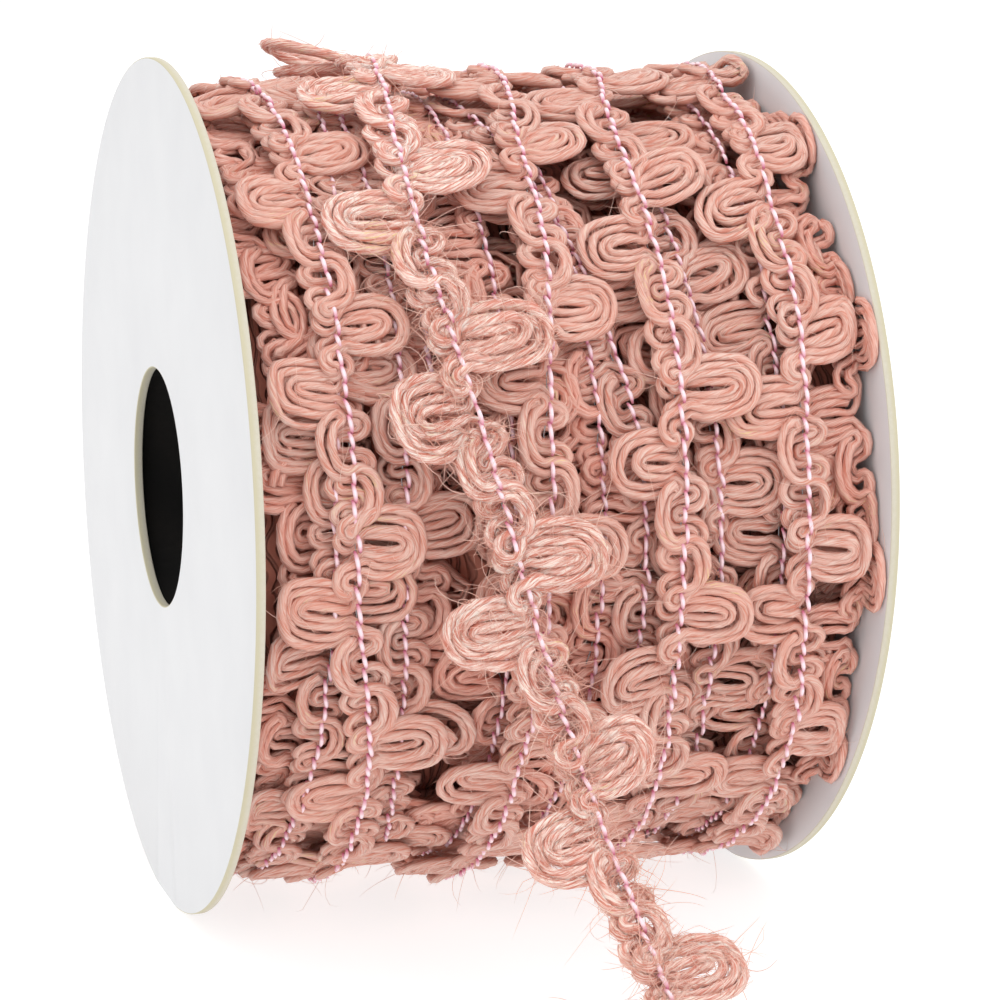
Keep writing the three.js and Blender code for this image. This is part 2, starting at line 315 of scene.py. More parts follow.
@dataclass(frozen=True)
class Finish:
    """A material made of nodes."""

    name: str

    def make(self) -> Material:
        """Makes the material.

        Returns:
            The material.
        """
        material = bpy.data.materials.new(self.name)
        material.use_nodes = True
        tree = material.node_tree
        tree.nodes.clear()
        place = add_node(tree, "TexCoord").outputs["Object"]
        add_node(tree, "OutputMaterial", {"Surface": self.shader(tree, place)})
        return material

    def shader(self, tree: Tree, place: Socket) -> Node:
        """Adds the nodes of the finish.

        Args:
            tree: The material's node tree.
            place: Coordinates of the surface, in metres.

        Returns:
            The node whose shader is shown.
        """
        raise NotImplementedError


@dataclass(frozen=True)
class CoatedCard(Finish):
    """White clay-coated card, calendered: satin and nearly even, with a faint cloud and a fine tooth.

    The real tooth is too fine to show, so it is drawn some five times as coarse.
    """

    white: str = "#DADADB"
    grey: str = "#D1D1D3"
    cloud_mm: float = 9.0
    tooth_mm: float = 0.35
    tooth_depth_mm: float = 0.02

    def shader(self, tree: Tree, place: Socket) -> Node:
        """Adds the nodes of the finish.

        Args:
            tree: The material's node tree.
            place: Coordinates of the surface, in metres.

        Returns:
            The node whose shader is shown.
        """
        cloud = add_node(tree, "TexNoise", {"Vector": place, "Scale": per(self.cloud_mm), "Detail": 3.0})
        colour = {0: cloud, 6: linear(self.grey), 7: linear(self.white)}
        colour = add_node(tree, "Mix", colour, data_type="RGBA").outputs[2]
        tooth = add_node(tree, "TexNoise", {"Vector": place, "Scale": per(self.tooth_mm), "Detail": 2.0})
        bump = {"Height": tooth, "Strength": 0.25, "Distance": self.tooth_depth_mm * MM}
        bump = add_node(tree, "Bump", bump)
        look = {"Base Color": colour, "Normal": bump, "Roughness": 0.42, "IOR": 1.5}
        return add_node(tree, "BsdfPrincipled", look)


@dataclass(frozen=True)
class CutCardEdge(Finish):
    """Die-cut edge of layered card: a cream liner at each face, grey-cream pulp between, torn a little."""

    outer_face: float
    liner: str = "#C6BFA4"
    pulp: str = "#D2CDBE"
    shade: str = "#C4BDA9"
    liner_mm: float = 0.48
    fibre_mm: float = 0.5
    fibre_depth_mm: float = 0.06

    def shader(self, tree: Tree, place: Socket) -> Node:
        """Adds the nodes of the finish.

        Args:
            tree: The material's node tree.
            place: Coordinates of the surface, in metres.

        Returns:
            The node whose shader is shown.
        """
        across = add_node(tree, "SeparateXYZ", {0: place}).outputs["X"]
        depth = add_node(tree, "Math", {0: across, 1: self.outer_face * MM}, operation="SUBTRACT")
        depth = add_node(tree, "Math", {0: depth}, operation="ABSOLUTE")
        fibres = {"Vector": place, "Scale": per(self.fibre_mm), "Detail": 4.0, "Roughness": 0.7}
        fibres = add_node(tree, "TexNoise", fibres)
        thick = self.liner_mm * MM
        ragged = add_node(tree, "Math", {0: fibres, 1: 0.5 * thick, 2: depth}, operation="MULTIPLY_ADD")
        layer = {"Value": ragged, "From Min": 0.8 * thick, "From Max": 1.7 * thick}
        layer = add_node(tree, "MapRange", layer)
        pulp = {0: fibres, 6: linear(self.shade), 7: linear(self.pulp)}
        pulp = add_node(tree, "Mix", pulp, data_type="RGBA").outputs[2]
        colour = {0: layer, 6: linear(self.liner), 7: pulp}
        colour = add_node(tree, "Mix", colour, data_type="RGBA").outputs[2]
        bump = {"Height": fibres, "Strength": 0.6, "Distance": self.fibre_depth_mm * MM}
        bump = add_node(tree, "Bump", bump)
        look = {"Base Color": colour, "Normal": bump, "Roughness": 0.85, "IOR": 1.5}
        return add_node(tree, "BsdfPrincipled", look)


@dataclass(frozen=True)
class SpiralBoardInPaintedShade(Finish):
    """Grey-brown chipboard tube, spiral wound and dull, with pulp specks and a wound seam; its colours are
    painted nearly black, as painted shade inside the tube.
    """

    # Both colours are painted shade: far darker than the board's own grey-brown, for the dark inside the
    # tube.
    light: str = "#1C1714"
    dark: str = "#0A0807"
    speck_mm: float = 0.8
    seam_mm: float = 24.0
    speck_depth_mm: float = 0.08

    def shader(self, tree: Tree, place: Socket) -> Node:
        """Adds the nodes of the finish.

        Args:
            tree: The material's node tree.
            place: Coordinates of the surface, in metres.

        Returns:
            The node whose shader is shown.
        """
        specks = add_node(tree, "TexNoise", {"Vector": place, "Scale": per(self.speck_mm), "Detail": 5.0})
        seam = {"Vector": place, "Scale": per(self.seam_mm), "Distortion": 1.0}
        seam = add_node(tree, "TexWave", seam, bands_direction="DIAGONAL").outputs["Fac"]
        both = add_node(tree, "Math", {0: specks, 1: seam}, operation="MULTIPLY")
        colour = {0: both, 6: linear(self.dark), 7: linear(self.light)}
        colour = add_node(tree, "Mix", colour, data_type="RGBA").outputs[2]
        bump = {"Height": specks, "Strength": 0.5, "Distance": self.speck_depth_mm * MM}
        bump = add_node(tree, "Bump", bump)
        look = {"Base Color": colour, "Normal": bump, "Roughness": 0.95, "IOR": 1.5}
        return add_node(tree, "BsdfPrincipled", look)


@dataclass(frozen=True)
class DyedJute(Finish):
    """Jute spun into soft single yarn and dyed dusty pink.

    To the eye it is matt, with streaks that wind round the yarn with its twist: their pale colour is a
    painted glint of the fibres and their dark colour painted shade in the furrows between them, over the
    fibres' own uneven tone. Here and there a fibre took little dye. Real fibres are 0.05 mm across, too
    fine to show, so the furrows are drawn some five times as wide.
    """

    # light is a painted glint and dark painted shade in the furrows, both over the fibres' own tone; middle
    # is the yarn's own colour.
    light: str = "#E8D0C4"
    middle: str = "#E6A490"
    dark: str = "#CB7761"
    undyed: str = "#E8C482"
    twist_mm: float = 11.0
    fibres_round: float = 2.9
    fibre_stretch: float = 0.14
    cloud_mm: float = 11.0
    fleck_mm: float = 7.0
    furrow_depth_mm: float = 0.16
    softened: tuple[float, float] = (0.08, 0.42)
    seep: float = 0.0
    seep_mm: float = 0.5
    seep_colour: tuple[float, float, float] = (1.0, 0.75, 0.65)
    streak_range: tuple[float, float] = (0.36, 0.64)

    def fibre_place(self, tree: Tree) -> Node:
        """Adds coordinates that wind round the yarn with its twist.

        Args:
            tree: The material's node tree.

        Returns:
            The node that gives them.
        """
        yarn = add_node(tree, "SeparateXYZ", {0: add_node(tree, "UVMap", uv_map="yarn")})
        round_yarn, along = yarn.outputs["X"], yarn.outputs["Y"]
        twist = add_node(tree, "Math", {0: along, 1: FULL_TURN / self.twist_mm}, operation="MULTIPLY")
        turn = add_node(tree, "Math", {0: round_yarn, 1: FULL_TURN, 2: twist}, operation="MULTIPLY_ADD")
        cosine = add_node(tree, "Math", {0: turn}, operation="COSINE")
        sine = add_node(tree, "Math", {0: turn}, operation="SINE")
        along = add_node(tree, "Math", {0: along, 1: self.fibre_stretch}, operation="MULTIPLY")
        return add_node(tree, "CombineXYZ", {0: cosine, 1: sine, 2: along})

    def shader(self, tree: Tree, place: Socket) -> Node:
        """Adds the nodes of the finish.

        Args:
            tree: The material's node tree.
            place: Coordinates of the surface, in metres.

        Returns:
            The node whose shader is shown.
        """
        fibres = {"Vector": self.fibre_place(tree), "Scale": self.fibres_round}
        fibres = add_node(tree, "TexNoise", fibres | {"Detail": 3.0, "Roughness": 0.6})
        cloud = add_node(tree, "TexNoise", {"Vector": place, "Scale": per(self.cloud_mm), "Detail": 2.0})
        # The streaks mix a painted glint with painted furrow shade, over the fibres' own uneven tone.
        low, high = self.streak_range
        streak = add_node(tree, "MapRange", {"Value": fibres, "From Min": low, "From Max": high})
        lit = {0: streak, 6: linear(self.dark), 7: linear(self.light)}
        lit = add_node(tree, "Mix", lit, data_type="RGBA").outputs[2]
        low, high = self.softened
        soften = {"Value": cloud, "From Min": 0.3, "From Max": 0.7, "To Min": low, "To Max": high}
        soften = add_node(tree, "MapRange", soften)
        colour = {0: soften, 6: lit, 7: linear(self.middle)}
        colour = add_node(tree, "Mix", colour, data_type="RGBA").outputs[2]
        fleck = add_node(tree, "TexNoise", {"Vector": place, "Scale": per(self.fleck_mm), "Detail": 3.0})
        rare = add_node(tree, "Math", {0: fleck, 1: streak}, operation="MULTIPLY")
        rare = {"Value": rare, "From Min": 0.56, "From Max": 0.66, "To Max": 0.85}
        rare = add_node(tree, "MapRange", rare)
        colour = {0: rare, 6: colour, 7: linear(self.undyed)}
        colour = add_node(tree, "Mix", colour, data_type="RGBA").outputs[2]
        bump = {"Height": fibres, "Strength": 0.9, "Distance": self.furrow_depth_mm * MM}
        look = {"Base Color": colour, "Normal": add_node(tree, "Bump", bump), "Roughness": 0.48, "IOR": 1.5}
        look |= {"Sheen Weight": 0.08, "Sheen Roughness": 0.35, "Sheen Tint": linear("#FFF3EE")}
        look |= {"Subsurface Weight": self.seep, "Subsurface Radius": self.seep_colour}
        look |= {"Subsurface Scale": self.seep_mm * MM}
        return add_node(tree, "BsdfPrincipled", look)


@dataclass(frozen=True)
class PackedJuteInPaintedShade(Finish):
    """Jute yarns of the first turns, pressed into a mat: wavy ridges with dark brown lines between them as
    painted shade, and all its colours darker than the yarn's own as painted shade deep in the roll.
    """

    # Painted shade: gap darkens the low lines between the yarns, and ridge and side are darker than the
    # rows' jute.
    ridge: str = "#DB917C"
    side: str = "#BB6B57"
    gap: str = "#6E382D"
    yarn_mm: float = 1.25
    wander_mm: float = 5.0

    def shader(self, tree: Tree, place: Socket) -> Node:
        """Adds the nodes of the finish.

        Args:
            tree: The material's node tree.
            place: Coordinates of the surface, in metres.

        Returns:
            The node whose shader is shown.
        """
        bend = add_node(tree, "TexNoise", {"Vector": place, "Scale": per(self.wander_mm), "Detail": 2.0})
        rows = {"Vector": place, "Scale": FULL_TURN / WAVE_RATE * per(self.yarn_mm), "Distortion": 14.0}
        rows |= {"Detail": 1.0, "Detail Scale": 0.7}
        rows = add_node(tree, "TexWave", rows, bands_direction="X").outputs["Fac"]
        height = {"Value": rows, "From Max": 0.6}
        height = add_node(tree, "MapRange", height, interpolation_type="SMOOTHSTEP")
        # Painted shade: the gap colour where the wave is low, between the yarns.
        low = {0: height, 6: linear(self.gap), 7: linear(self.side)}
        low = add_node(tree, "Mix", low, data_type="RGBA").outputs[2]
        colour = {0: bend, 6: low, 7: linear(self.ridge)}
        colour = add_node(tree, "Mix", colour, data_type="RGBA").outputs[2]
        bump = {"Height": height, "Strength": 1.0, "Distance": 0.4 * self.yarn_mm * MM}
        bump = add_node(tree, "Bump", bump)
        look = {"Base Color": colour, "Normal": bump, "Roughness": 0.8, "IOR": 1.5}
        return add_node(tree, "BsdfPrincipled", look)


@dataclass(frozen=True)
class LooseFibre(Finish):
    """Single jute fibres that have worked out of the yarn: pale, thin and a little shiny."""

    pale: str = "#FADFD2"
    pink: str = "#E5A792"
    change_mm: float = 4.0

    def shader(self, tree: Tree, place: Socket) -> Node:
        """Adds the nodes of the finish.

        Args:
            tree: The material's node tree.
            place: Coordinates of the surface, in metres.

        Returns:
            The node whose shader is shown.
        """
        cloud = add_node(tree, "TexNoise", {"Vector": place, "Scale": per(self.change_mm), "Detail": 2.0})
        colour = {0: cloud, 6: linear(self.pink), 7: linear(self.pale)}
        colour = add_node(tree, "Mix", colour, data_type="RGBA").outputs[2]
        return add_node(tree, "BsdfPrincipled", {"Base Color": colour, "Roughness": 0.5, "IOR": 1.5})


@dataclass(frozen=True)
class SewingThread(Finish):
    """Spun polyester sewing thread, lilac-pink, with a painted highlight along the middle of each stitch
    and painted shade, deep pink, at its ends where it dives.

    Its plies would be too fine to show, so they are drawn some four times as wide.
    """

    # bright is a painted highlight, deep is painted shade where the thread dives.
    bright: str = "#FFE2EA"
    deep: str = "#D3708E"
    ply_mm: float = 0.55
    ply_share: float = 0.16
    ply_depth_mm: float = 0.08

    def shader(self, tree: Tree, place: Socket) -> Node:
        """Adds the nodes of the finish.

        Args:
            tree: The material's node tree.
            place: Coordinates of the surface, in metres.

        Returns:
            The node whose shader is shown.
        """
        along = add_node(tree, "SeparateXYZ", {0: add_node(tree, "UVMap", uv_map="yarn")}).outputs["Y"]
        # Painted highlight in the middle of each stitch, painted shade at its ends.
        middle = add_node(tree, "Math", {0: along, 1: 0.5}, operation="PINGPONG")
        share = add_node(tree, "MapRange", {"Value": middle, "From Min": 0.05, "From Max": 0.4})
        colour = {0: share, 6: linear(self.deep), 7: linear(self.bright)}
        colour = add_node(tree, "Mix", colour, data_type="RGBA").outputs[2]
        plies = {"Vector": place, "Scale": self.ply_share * per(self.ply_mm), "Distortion": 0.6}
        plies = add_node(tree, "TexWave", plies, bands_direction="DIAGONAL").outputs["Fac"]
        bump = {"Height": plies, "Strength": 0.5, "Distance": self.ply_depth_mm * MM}
        bump = add_node(tree, "Bump", bump)
        look = {"Base Color": colour, "Normal": bump, "Roughness": 0.3, "IOR": 1.5, "Sheen Weight": 0.2}
        return add_node(tree, "BsdfPrincipled", look)


@dataclass(frozen=True)
class DrawnWire(Finish):
    """Thin drawn steel wire, bare: bright glints along it, with fine die lines.

    Real die lines are far too fine to show, so they are drawn as streaks wider than the wire.
    """

    steel: str = "#C3C4C6"
    dull: str = "#8E8F92"
    die_line_mm: float = 0.4

    def shader(self, tree: Tree, place: Socket) -> Node:
        """Adds the nodes of the finish.

        Args:
            tree: The material's node tree.
            place: Coordinates of the surface, in metres.

        Returns:
            The node whose shader is shown.
        """
        lines = add_node(tree, "TexNoise", {"Vector": place, "Scale": per(self.die_line_mm), "Detail": 2.0})
        colour = {0: lines, 6: linear(self.dull), 7: linear(self.steel)}
        colour = add_node(tree, "Mix", colour, data_type="RGBA").outputs[2]
        return add_node(tree, "BsdfPrincipled", {"Base Color": colour, "Metallic": 1.0, "Roughness": 0.28})


@dataclass(frozen=True)
class StudioTable(Finish):
    """White translucent studio table lit from below: even and matt, with almost no shadow.

    Its tooth is drawn coarser than the real one, which is too fine to show.
    """

    white: str = "#A6A6A6"
    glow: float = 0.76
    tooth_mm: float = 1.0
    tooth_depth_mm: float = 0.02

    def shader(self, tree: Tree, place: Socket) -> Node:
        """Adds the nodes of the finish.

        Args:
            tree: The material's node tree.
            place: Coordinates of the surface, in metres.

        Returns:
            The node whose shader is shown.
        """
        tooth = add_node(tree, "TexNoise", {"Vector": place, "Scale": per(self.tooth_mm)})
        bump = {"Height": tooth, "Strength": 0.05, "Distance": self.tooth_depth_mm * MM}
        look = {"Base Color": linear(self.white), "Normal": add_node(tree, "Bump", bump), "Roughness": 0.9}
        look |= {"IOR": 1.3, "Emission Color": (1, 1, 1, 1), "Emission Strength": self.glow}
        return add_node(tree, "BsdfPrincipled", look)


@dataclass
class Mesh:
    """Points and faces in millimetres, gathered strand by strand."""

    points: list[Array] = field(default_factory=list)
    faces: list[tuple[Array, Array]] = field(default_factory=list)
    count: int = 0

    def corners(self, rings: Array) -> tuple[Array, Array, Array, Array]:
        """Numbers the corners of tubes.

        Args:
            rings: Points of each tube, ring and corner.

        Returns:
            The first corner of each tube, the corners' order, the one after each, and the corners of
            the walls' faces.
        """
        tubes, steps, sides, _ = rings.shape
        start = self.count + np.arange(tubes)[:, None, None] * steps * sides
        ring = np.arange(steps - 1)[None, :, None] * sides
        corner = np.arange(sides)[None, None, :]
        following = (corner + 1) % sides
        low, high = start + ring, start + ring + sides
        walls = np.stack([low + corner, low + following, high + following, high + corner], axis=-1)
        return start, corner, following, walls.reshape(-1, 4)

    def add_tubes(self, rings: Array, along: Array) -> None:
        """Adds closed tubes that all have the same number of rings.

        Args:
            rings: Points of each tube, ring and corner, with the corners counter-clockwise seen
                from the tube's far end.
            along: Place along the tube of each ring, kept in the map called yarn.
        """
        tubes, steps, sides, _ = rings.shape
        start, corner, _, walls = self.corners(rings)
        low = np.broadcast_to(along[:, :-1, None], (tubes, steps - 1, sides))
        high = np.broadcast_to(along[:, 1:, None], (tubes, steps - 1, sides))
        left = np.broadcast_to(corner / sides, low.shape)
        right = left + 1 / sides
        wall_map = np.stack([left, low, right, low, right, high, left, high], axis=-1).reshape(-1, 8)
        self.faces.append((walls, wall_map))
        order = np.arange(sides)
        near = start[:, 0] + order[None, ::-1]
        far = start[:, 0] + (steps - 1) * sides + order[None, :]
        for cap, place, turn in ((near, along[:, 0], order[::-1]), (far, along[:, -1], order)):
            round_yarn = np.broadcast_to(turn / sides, (tubes, sides))
            cap_map = np.stack([round_yarn, np.broadcast_to(place[:, None], (tubes, sides))], axis=-1)
            self.faces.append((cap, cap_map.reshape(tubes, -1)))
        self.points.append(rings.reshape(-1, 3))
        self.count += rings.size // 3

    def add_spikes(self, rings: Array, tips: Array) -> None:
        """Adds closed tubes that end in a point.

        Args:
            rings: Points of each tube, ring and corner, as for add_tubes.
            tips: The point of each tube.
        """
        tubes, steps, sides, _ = rings.shape
        start, corner, following, walls = self.corners(rings)
        last = start + (steps - 1) * sides
        tip = self.count + rings.size // 3 + np.arange(tubes)
        tip = np.broadcast_to(tip[:, None, None], (tubes, 1, sides))
        cone = np.stack([last + corner, last + following, tip], axis=-1).reshape(-1, 3)
        base = start[:, 0] + np.arange(sides)[None, ::-1]
        for faces in (walls, cone, base):
            self.faces.append((faces, np.zeros((len(faces), 2 * faces.shape[1]))))
        self.points += [rings.reshape(-1, 3), tips]
        self.count += rings.size // 3 + tubes

    def make(self, name: str, slot: Slot, materials: list[Material]) -> Object:
        """Makes the object, which rides on the reel.

        Args:
            name: The piece's name.
            slot: The record's slot; not used.
            materials: Its materials, the first one on every face.

        Returns:
            The new object.
        """
        mesh = bpy.data.meshes.new(name)
        points = np.concatenate(self.points) * MM
        mesh.vertices.add(len(points))
        mesh.vertices.foreach_set("co", points.astype(np.float32).ravel())
        corners = np.concatenate([f.ravel() for f, _ in self.faces]).astype(np.int32)
        sizes = np.concatenate([np.full(len(f), f.shape[1]) for f, _ in self.faces])
        mesh.loops.add(len(corners))
        mesh.loops.foreach_set("vertex_index", corners)
        mesh.polygons.add(len(sizes))
        starts = np.concatenate([[0], np.cumsum(sizes)[:-1]]).astype(np.int32)
        mesh.polygons.foreach_set("loop_start", starts)
        mapped = np.concatenate([m.ravel() for _, m in self.faces]).astype(np.float32)
        mesh.update(calc_edges=True)
        mesh.uv_layers.new(name="yarn").data.foreach_set("uv", mapped)
        mesh.shade_smooth()
        mesh.validate()
        return new_piece(mesh, materials)


def new_piece(mesh: bpy.types.Mesh, materials: list[Material]) -> Object:
    """Puts a mesh in the scene as a piece that rides on the reel.

    Args:
        mesh: The mesh, named as the piece.
        materials: Its materials.

    Returns:
        The new object.
    """
    for material in materials:
        mesh.materials.append(material)
    piece = bpy.data.objects.new(mesh.name, mesh)
    bpy.context.scene.collection.objects.link(piece)
    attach(piece, "root")
    sizes = np.array([len(face.vertices) for face in mesh.polygons])
    log.info("%s: %d points, %d triangles", mesh.name, len(mesh.vertices), (sizes - 2).sum())
    return piece


@dataclass
class Route:
    """A sewn line in space, with the directions of the trim at each of its points."""

    repeats: Array
    places: Array
    soft_from: float = 31.5
    widest: float = 35.0
    climb: float = 0.5

    def __post_init__(self) -> None:
        """Works out the directions ahead, to the right and outward."""
        self.ahead = unit(np.gradient(self.places, axis=0))
        sideways = np.array([1.0, 0.0, 0.0]) - self.ahead * self.ahead[:, :1]
        self.right = unit(sideways)
        self.outward = unit(np.cross(self.ahead, self.right))

    def read(self, columns: Array, repeats: Array) -> Array:
        """Reads places or directions along the route.

        Args:
            columns: Places or directions of the route's own points.
            repeats: Where to read them, in repeats of the trim.

        Returns:
            One place or direction for each.
        """
        return np.stack([np.interp(repeats, self.repeats, c) for c in columns.T], axis=1)

    def lay(self, flat: Array) -> tuple[Array, Array]:
        """Lays points of the flat trim along the route, squeezed in between the flanges.

        Args:
            flat: Millimetres along the trim, to the right of its sewn line and outward.

        Returns:
            The points in space, and the outward direction at each.
        """
        at = flat[:, 0] / REPEAT
        right = self.read(self.right, at)
        outward = self.read(self.outward, at)
        points = self.read(self.places, at) + right * flat[:, 1:2] + outward * flat[:, 2:3]
        over = np.maximum(np.abs(points[:, 0]) - self.soft_from, 0)
        room = self.widest - self.soft_from
        squeezed = room * (1 - np.exp(-over / room))
        taken = np.where(at < FIRST_LOOSE_REPEAT, over - squeezed, 0)
        points[:, 0] -= np.sign(points[:, 0]) * taken
        points += outward * (self.climb * taken)[:, None]
        return points, outward


@dataclass(frozen=True)
class Loop:
    """One loop of a pair of yarns: how far out it reaches, and how high it lies."""

    side: Side
    at: float
    half: float
    reach: float
    height: float = 0.0


# The outer pair of yarns in one repeat, as the line between its two yarns
OUTER_PAIR = (
    Loop(Side.RIGHT, 0.0, 3.1, 8.2),
    Loop(Side.LEFT, 4.1, 1.25, 1.8, 0.4),
    Loop(Side.LEFT, 7.9, 3.1, 8.1),
    Loop(Side.LEFT, 13.6, 3.5, 2.7, 0.3),
    Loop(Side.RIGHT, 19.3, 2.9, 2.3, 0.3),
    Loop(Side.LEFT, 23.0, 0.9, 1.5, 0.2),
)

# The inner pair, whose big petals lie inside the outer pair's
INNER_PAIR = (
    Loop(Side.RIGHT, 0.0, 1.2, 6.2),
    Loop(Side.LEFT, 2.7, 0.9, 1.3, 0.1),
    Loop(Side.RIGHT, 4.7, 0.7, 0.7),
    Loop(Side.LEFT, 7.9, 1.2, 6.1),
    Loop(Side.RIGHT, 11.3, 1.1, 1.9, 0.3),
    Loop(Side.LEFT, 13.5, 1.3, 1.5),
    Loop(Side.RIGHT, 15.6, 1.2, 2.1, 0.3),
    Loop(Side.LEFT, 18.2, 1.25, 2.1, 0.2),
    Loop(Side.RIGHT, 20.0, 0.9, 0.8, -0.1),
    Loop(Side.LEFT, 21.5, 0.85, 1.8, 0.3),
    Loop(Side.RIGHT, 22.8, 0.7, 0.7),
    Loop(Side.LEFT, 24.1, 0.85, 1.6, 0.3),
)

# Half of a small loop's outline and of a big petal's: along the trim in half widths, and out in reaches
SMALL_LOOP = ((-0.92, 0.3), (-0.7, 0.76))
BIG_PETAL = ((-0.97, 0.3), (-1.0, 0.6), (-0.72, 0.9))


@dataclass
class Strand:
    """A yarn laid in space."""

    points: Array
    outward: Array
    radius: float


@dataclass(frozen=True)
class Petal:
    """How one big petal differs from the drawn one."""

    stretch: float
    width: float
    tilt: float
    lift: float
    inner_shift: float = 0.0
    inner_reach: float = 0.0
    inner_lift: float = 1.0
    rise: float = 1.5


Petals = dict[tuple[int, Side], Petal]


@dataclass(frozen=True)
class PetalSize:
    """Size of a stretch's big petals against the drawn one, and how their inner pair strays."""

    reach: float
    width: float
    inner_spread: float
    least_inner_reach: float


@dataclass
class LoopTrim:
    """The trim drawn flat: two pairs of jute yarns in loops beside a sewn line."""

    pair_gap: float = 0.9
    loose_gap: float = 1.08
    wound_petal: PetalSize = PetalSize(0.95, 0.97, 0.32, -0.9)
    loose_petal: PetalSize = PetalSize(1.07, 1.03, 0.15, -0.15)
    reach_spread: float = 0.05
    width_spread: float = 0.06
    tilt_spread: float = 0.12
    lift_spread: float = 0.6
    lift_limits: tuple[float, float] = (-0.8, 2.2)
    right_lift: float = 0.75
    left_lift: float = -0.3
    inner_reach_spread: float = 0.35
    most_inner_reach: float = 0.3
    most_inner_shift: float = 0.6
    big_petal: float = 5.0
    level_gone: float = 3.0
    line_samples: int = 6
    line_step: float = 0.2
    neck_half: float = 0.8
    neck_reach: float = 0.9
    uneven: float = 0.12
    narrow_reach: float = 3.5
    roll_wander: Wander = (0.35, 9.0)
    narrow_roll_wander: Wander = (0.6, 4.0)
    gap_wander: Wander = (0.16, 5.0)
    side_wander: Wander = (0.13, 3.6)
    height_wander: Wander = (0.18, 4.5)
    outer_height: float = 0.45
    inner_height: float = -0.35
    raised_repeat: int = 110
    full_repeat: int = 113
    full_width: float = 1.25
    full_inner_reach: float = 0.5
    raised: Petal = Petal(1.37, 0.72, -0.1, 4.2, 0.0, 1.6, 0.25, 0.8)
    seed: int = 11
    wander_seed: int = 5

    def petals(self, repeats: int) -> Petals:
        """Draws how each big petal differs, so that both pairs of yarns follow it.

        Args:
            repeats: Number of repeats.

        Returns:
            The petal on each side of each repeat.
        """
        rng = np.random.default_rng(self.seed)
        petals = {}
        for repeat in range(repeats):
            size = self.loose_petal if repeat >= self.raised_repeat else self.wound_petal
            for side in Side:
                reach, width, tilt, lift, inner_shift, inner_reach = rng.normal(size=6)
                lift = self.lift_spread * lift + (self.right_lift if side is Side.RIGHT else self.left_lift)
                inner_shift = size.inner_spread * inner_shift
                inner_reach = self.inner_reach_spread * inner_reach
                petals[repeat, side] = Petal(
                    size.reach + self.reach_spread * reach,
                    size.width + self.width_spread * width,
                    self.tilt_spread * tilt,
                    float(np.clip(lift, *self.lift_limits)),
                    float(np.clip(inner_shift, -self.most_inner_shift, self.most_inner_shift)),
                    float(np.clip(inner_reach, size.least_inner_reach, self.most_inner_reach)),
                )
        if repeats > self.full_repeat:
            full = petals[self.full_repeat, Side.LEFT]
            full = replace(full, width=self.full_width, inner_shift=0.0, inner_reach=self.full_inner_reach)
            petals[self.full_repeat, Side.LEFT] = full
            petals[self.raised_repeat, Side.LEFT] = self.raised
        return petals

    def outline(self, loop: Loop, petal: Petal, level: float) -> list[tuple[float, float, float]]:
        """Draws one loop of a pair.

        Args:
            loop: The loop in the chart.
            petal: How the big petal there differs.
            level: Height of the pair where it crosses the sewn line.

        Returns:
            Points along the trim, to the right and outward.
        """
        out = loop.side.value
        if loop.reach <= self.big_petal:
            rows = (*SMALL_LOOP, (0, 1), *[(-a, b) for a, b in SMALL_LOOP[::-1]])
            half, reach = loop.half, out * loop.reach
            return [(loop.at + a * half, b * reach, level + loop.height * b) for a, b in rows]
        reach = loop.reach * petal.stretch
        half = loop.half * petal.width
        shift = 0.0
        lift = petal.lift
        if loop in INNER_PAIR:
            reach += petal.inner_reach
            shift = petal.inner_shift
            lift *= petal.inner_lift
        rows = [(-self.neck_half * half, self.neck_reach), *[(a * half, b * reach) for a, b in BIG_PETAL]]
        rows += [(0, reach), *[(-a, b) for a, b in rows[::-1]]]
        points = []
        for along, away in rows:
            share = max(away, 0) / reach
            height = level * (1 - min(1, share * self.level_gone)) + lift * share**petal.rise
            points.append((loop.at + along + shift * share + petal.tilt * away, out * away, height))
        return points

    def pair_line(self, chart: tuple[Loop, ...], level: float, repeats: int, petals: Petals) -> Array:
        """Draws the line between the two yarns of a pair along the whole trim.

        Args:
            chart: The pair's loops in one repeat.
            level: Height of the pair where it crosses the sewn line.
            repeats: Number of repeats.
            petals: How each big petal differs.

        Returns:
            Points close together along the line.
        """
        rng = np.random.default_rng(self.seed + len(chart))
        points = []
        for repeat in range(repeats):
            for loop in chart:
                sway, size = rng.normal(size=2)
                drawn = self.outline(loop, petals[repeat, loop.side], level + self.uneven * size)
                shift = repeat * REPEAT + self.uneven * sway
                points += [(along + shift, away, height) for along, away, height in drawn]
        return spaced(smooth_curve(np.array(points), self.line_samples), self.line_step)

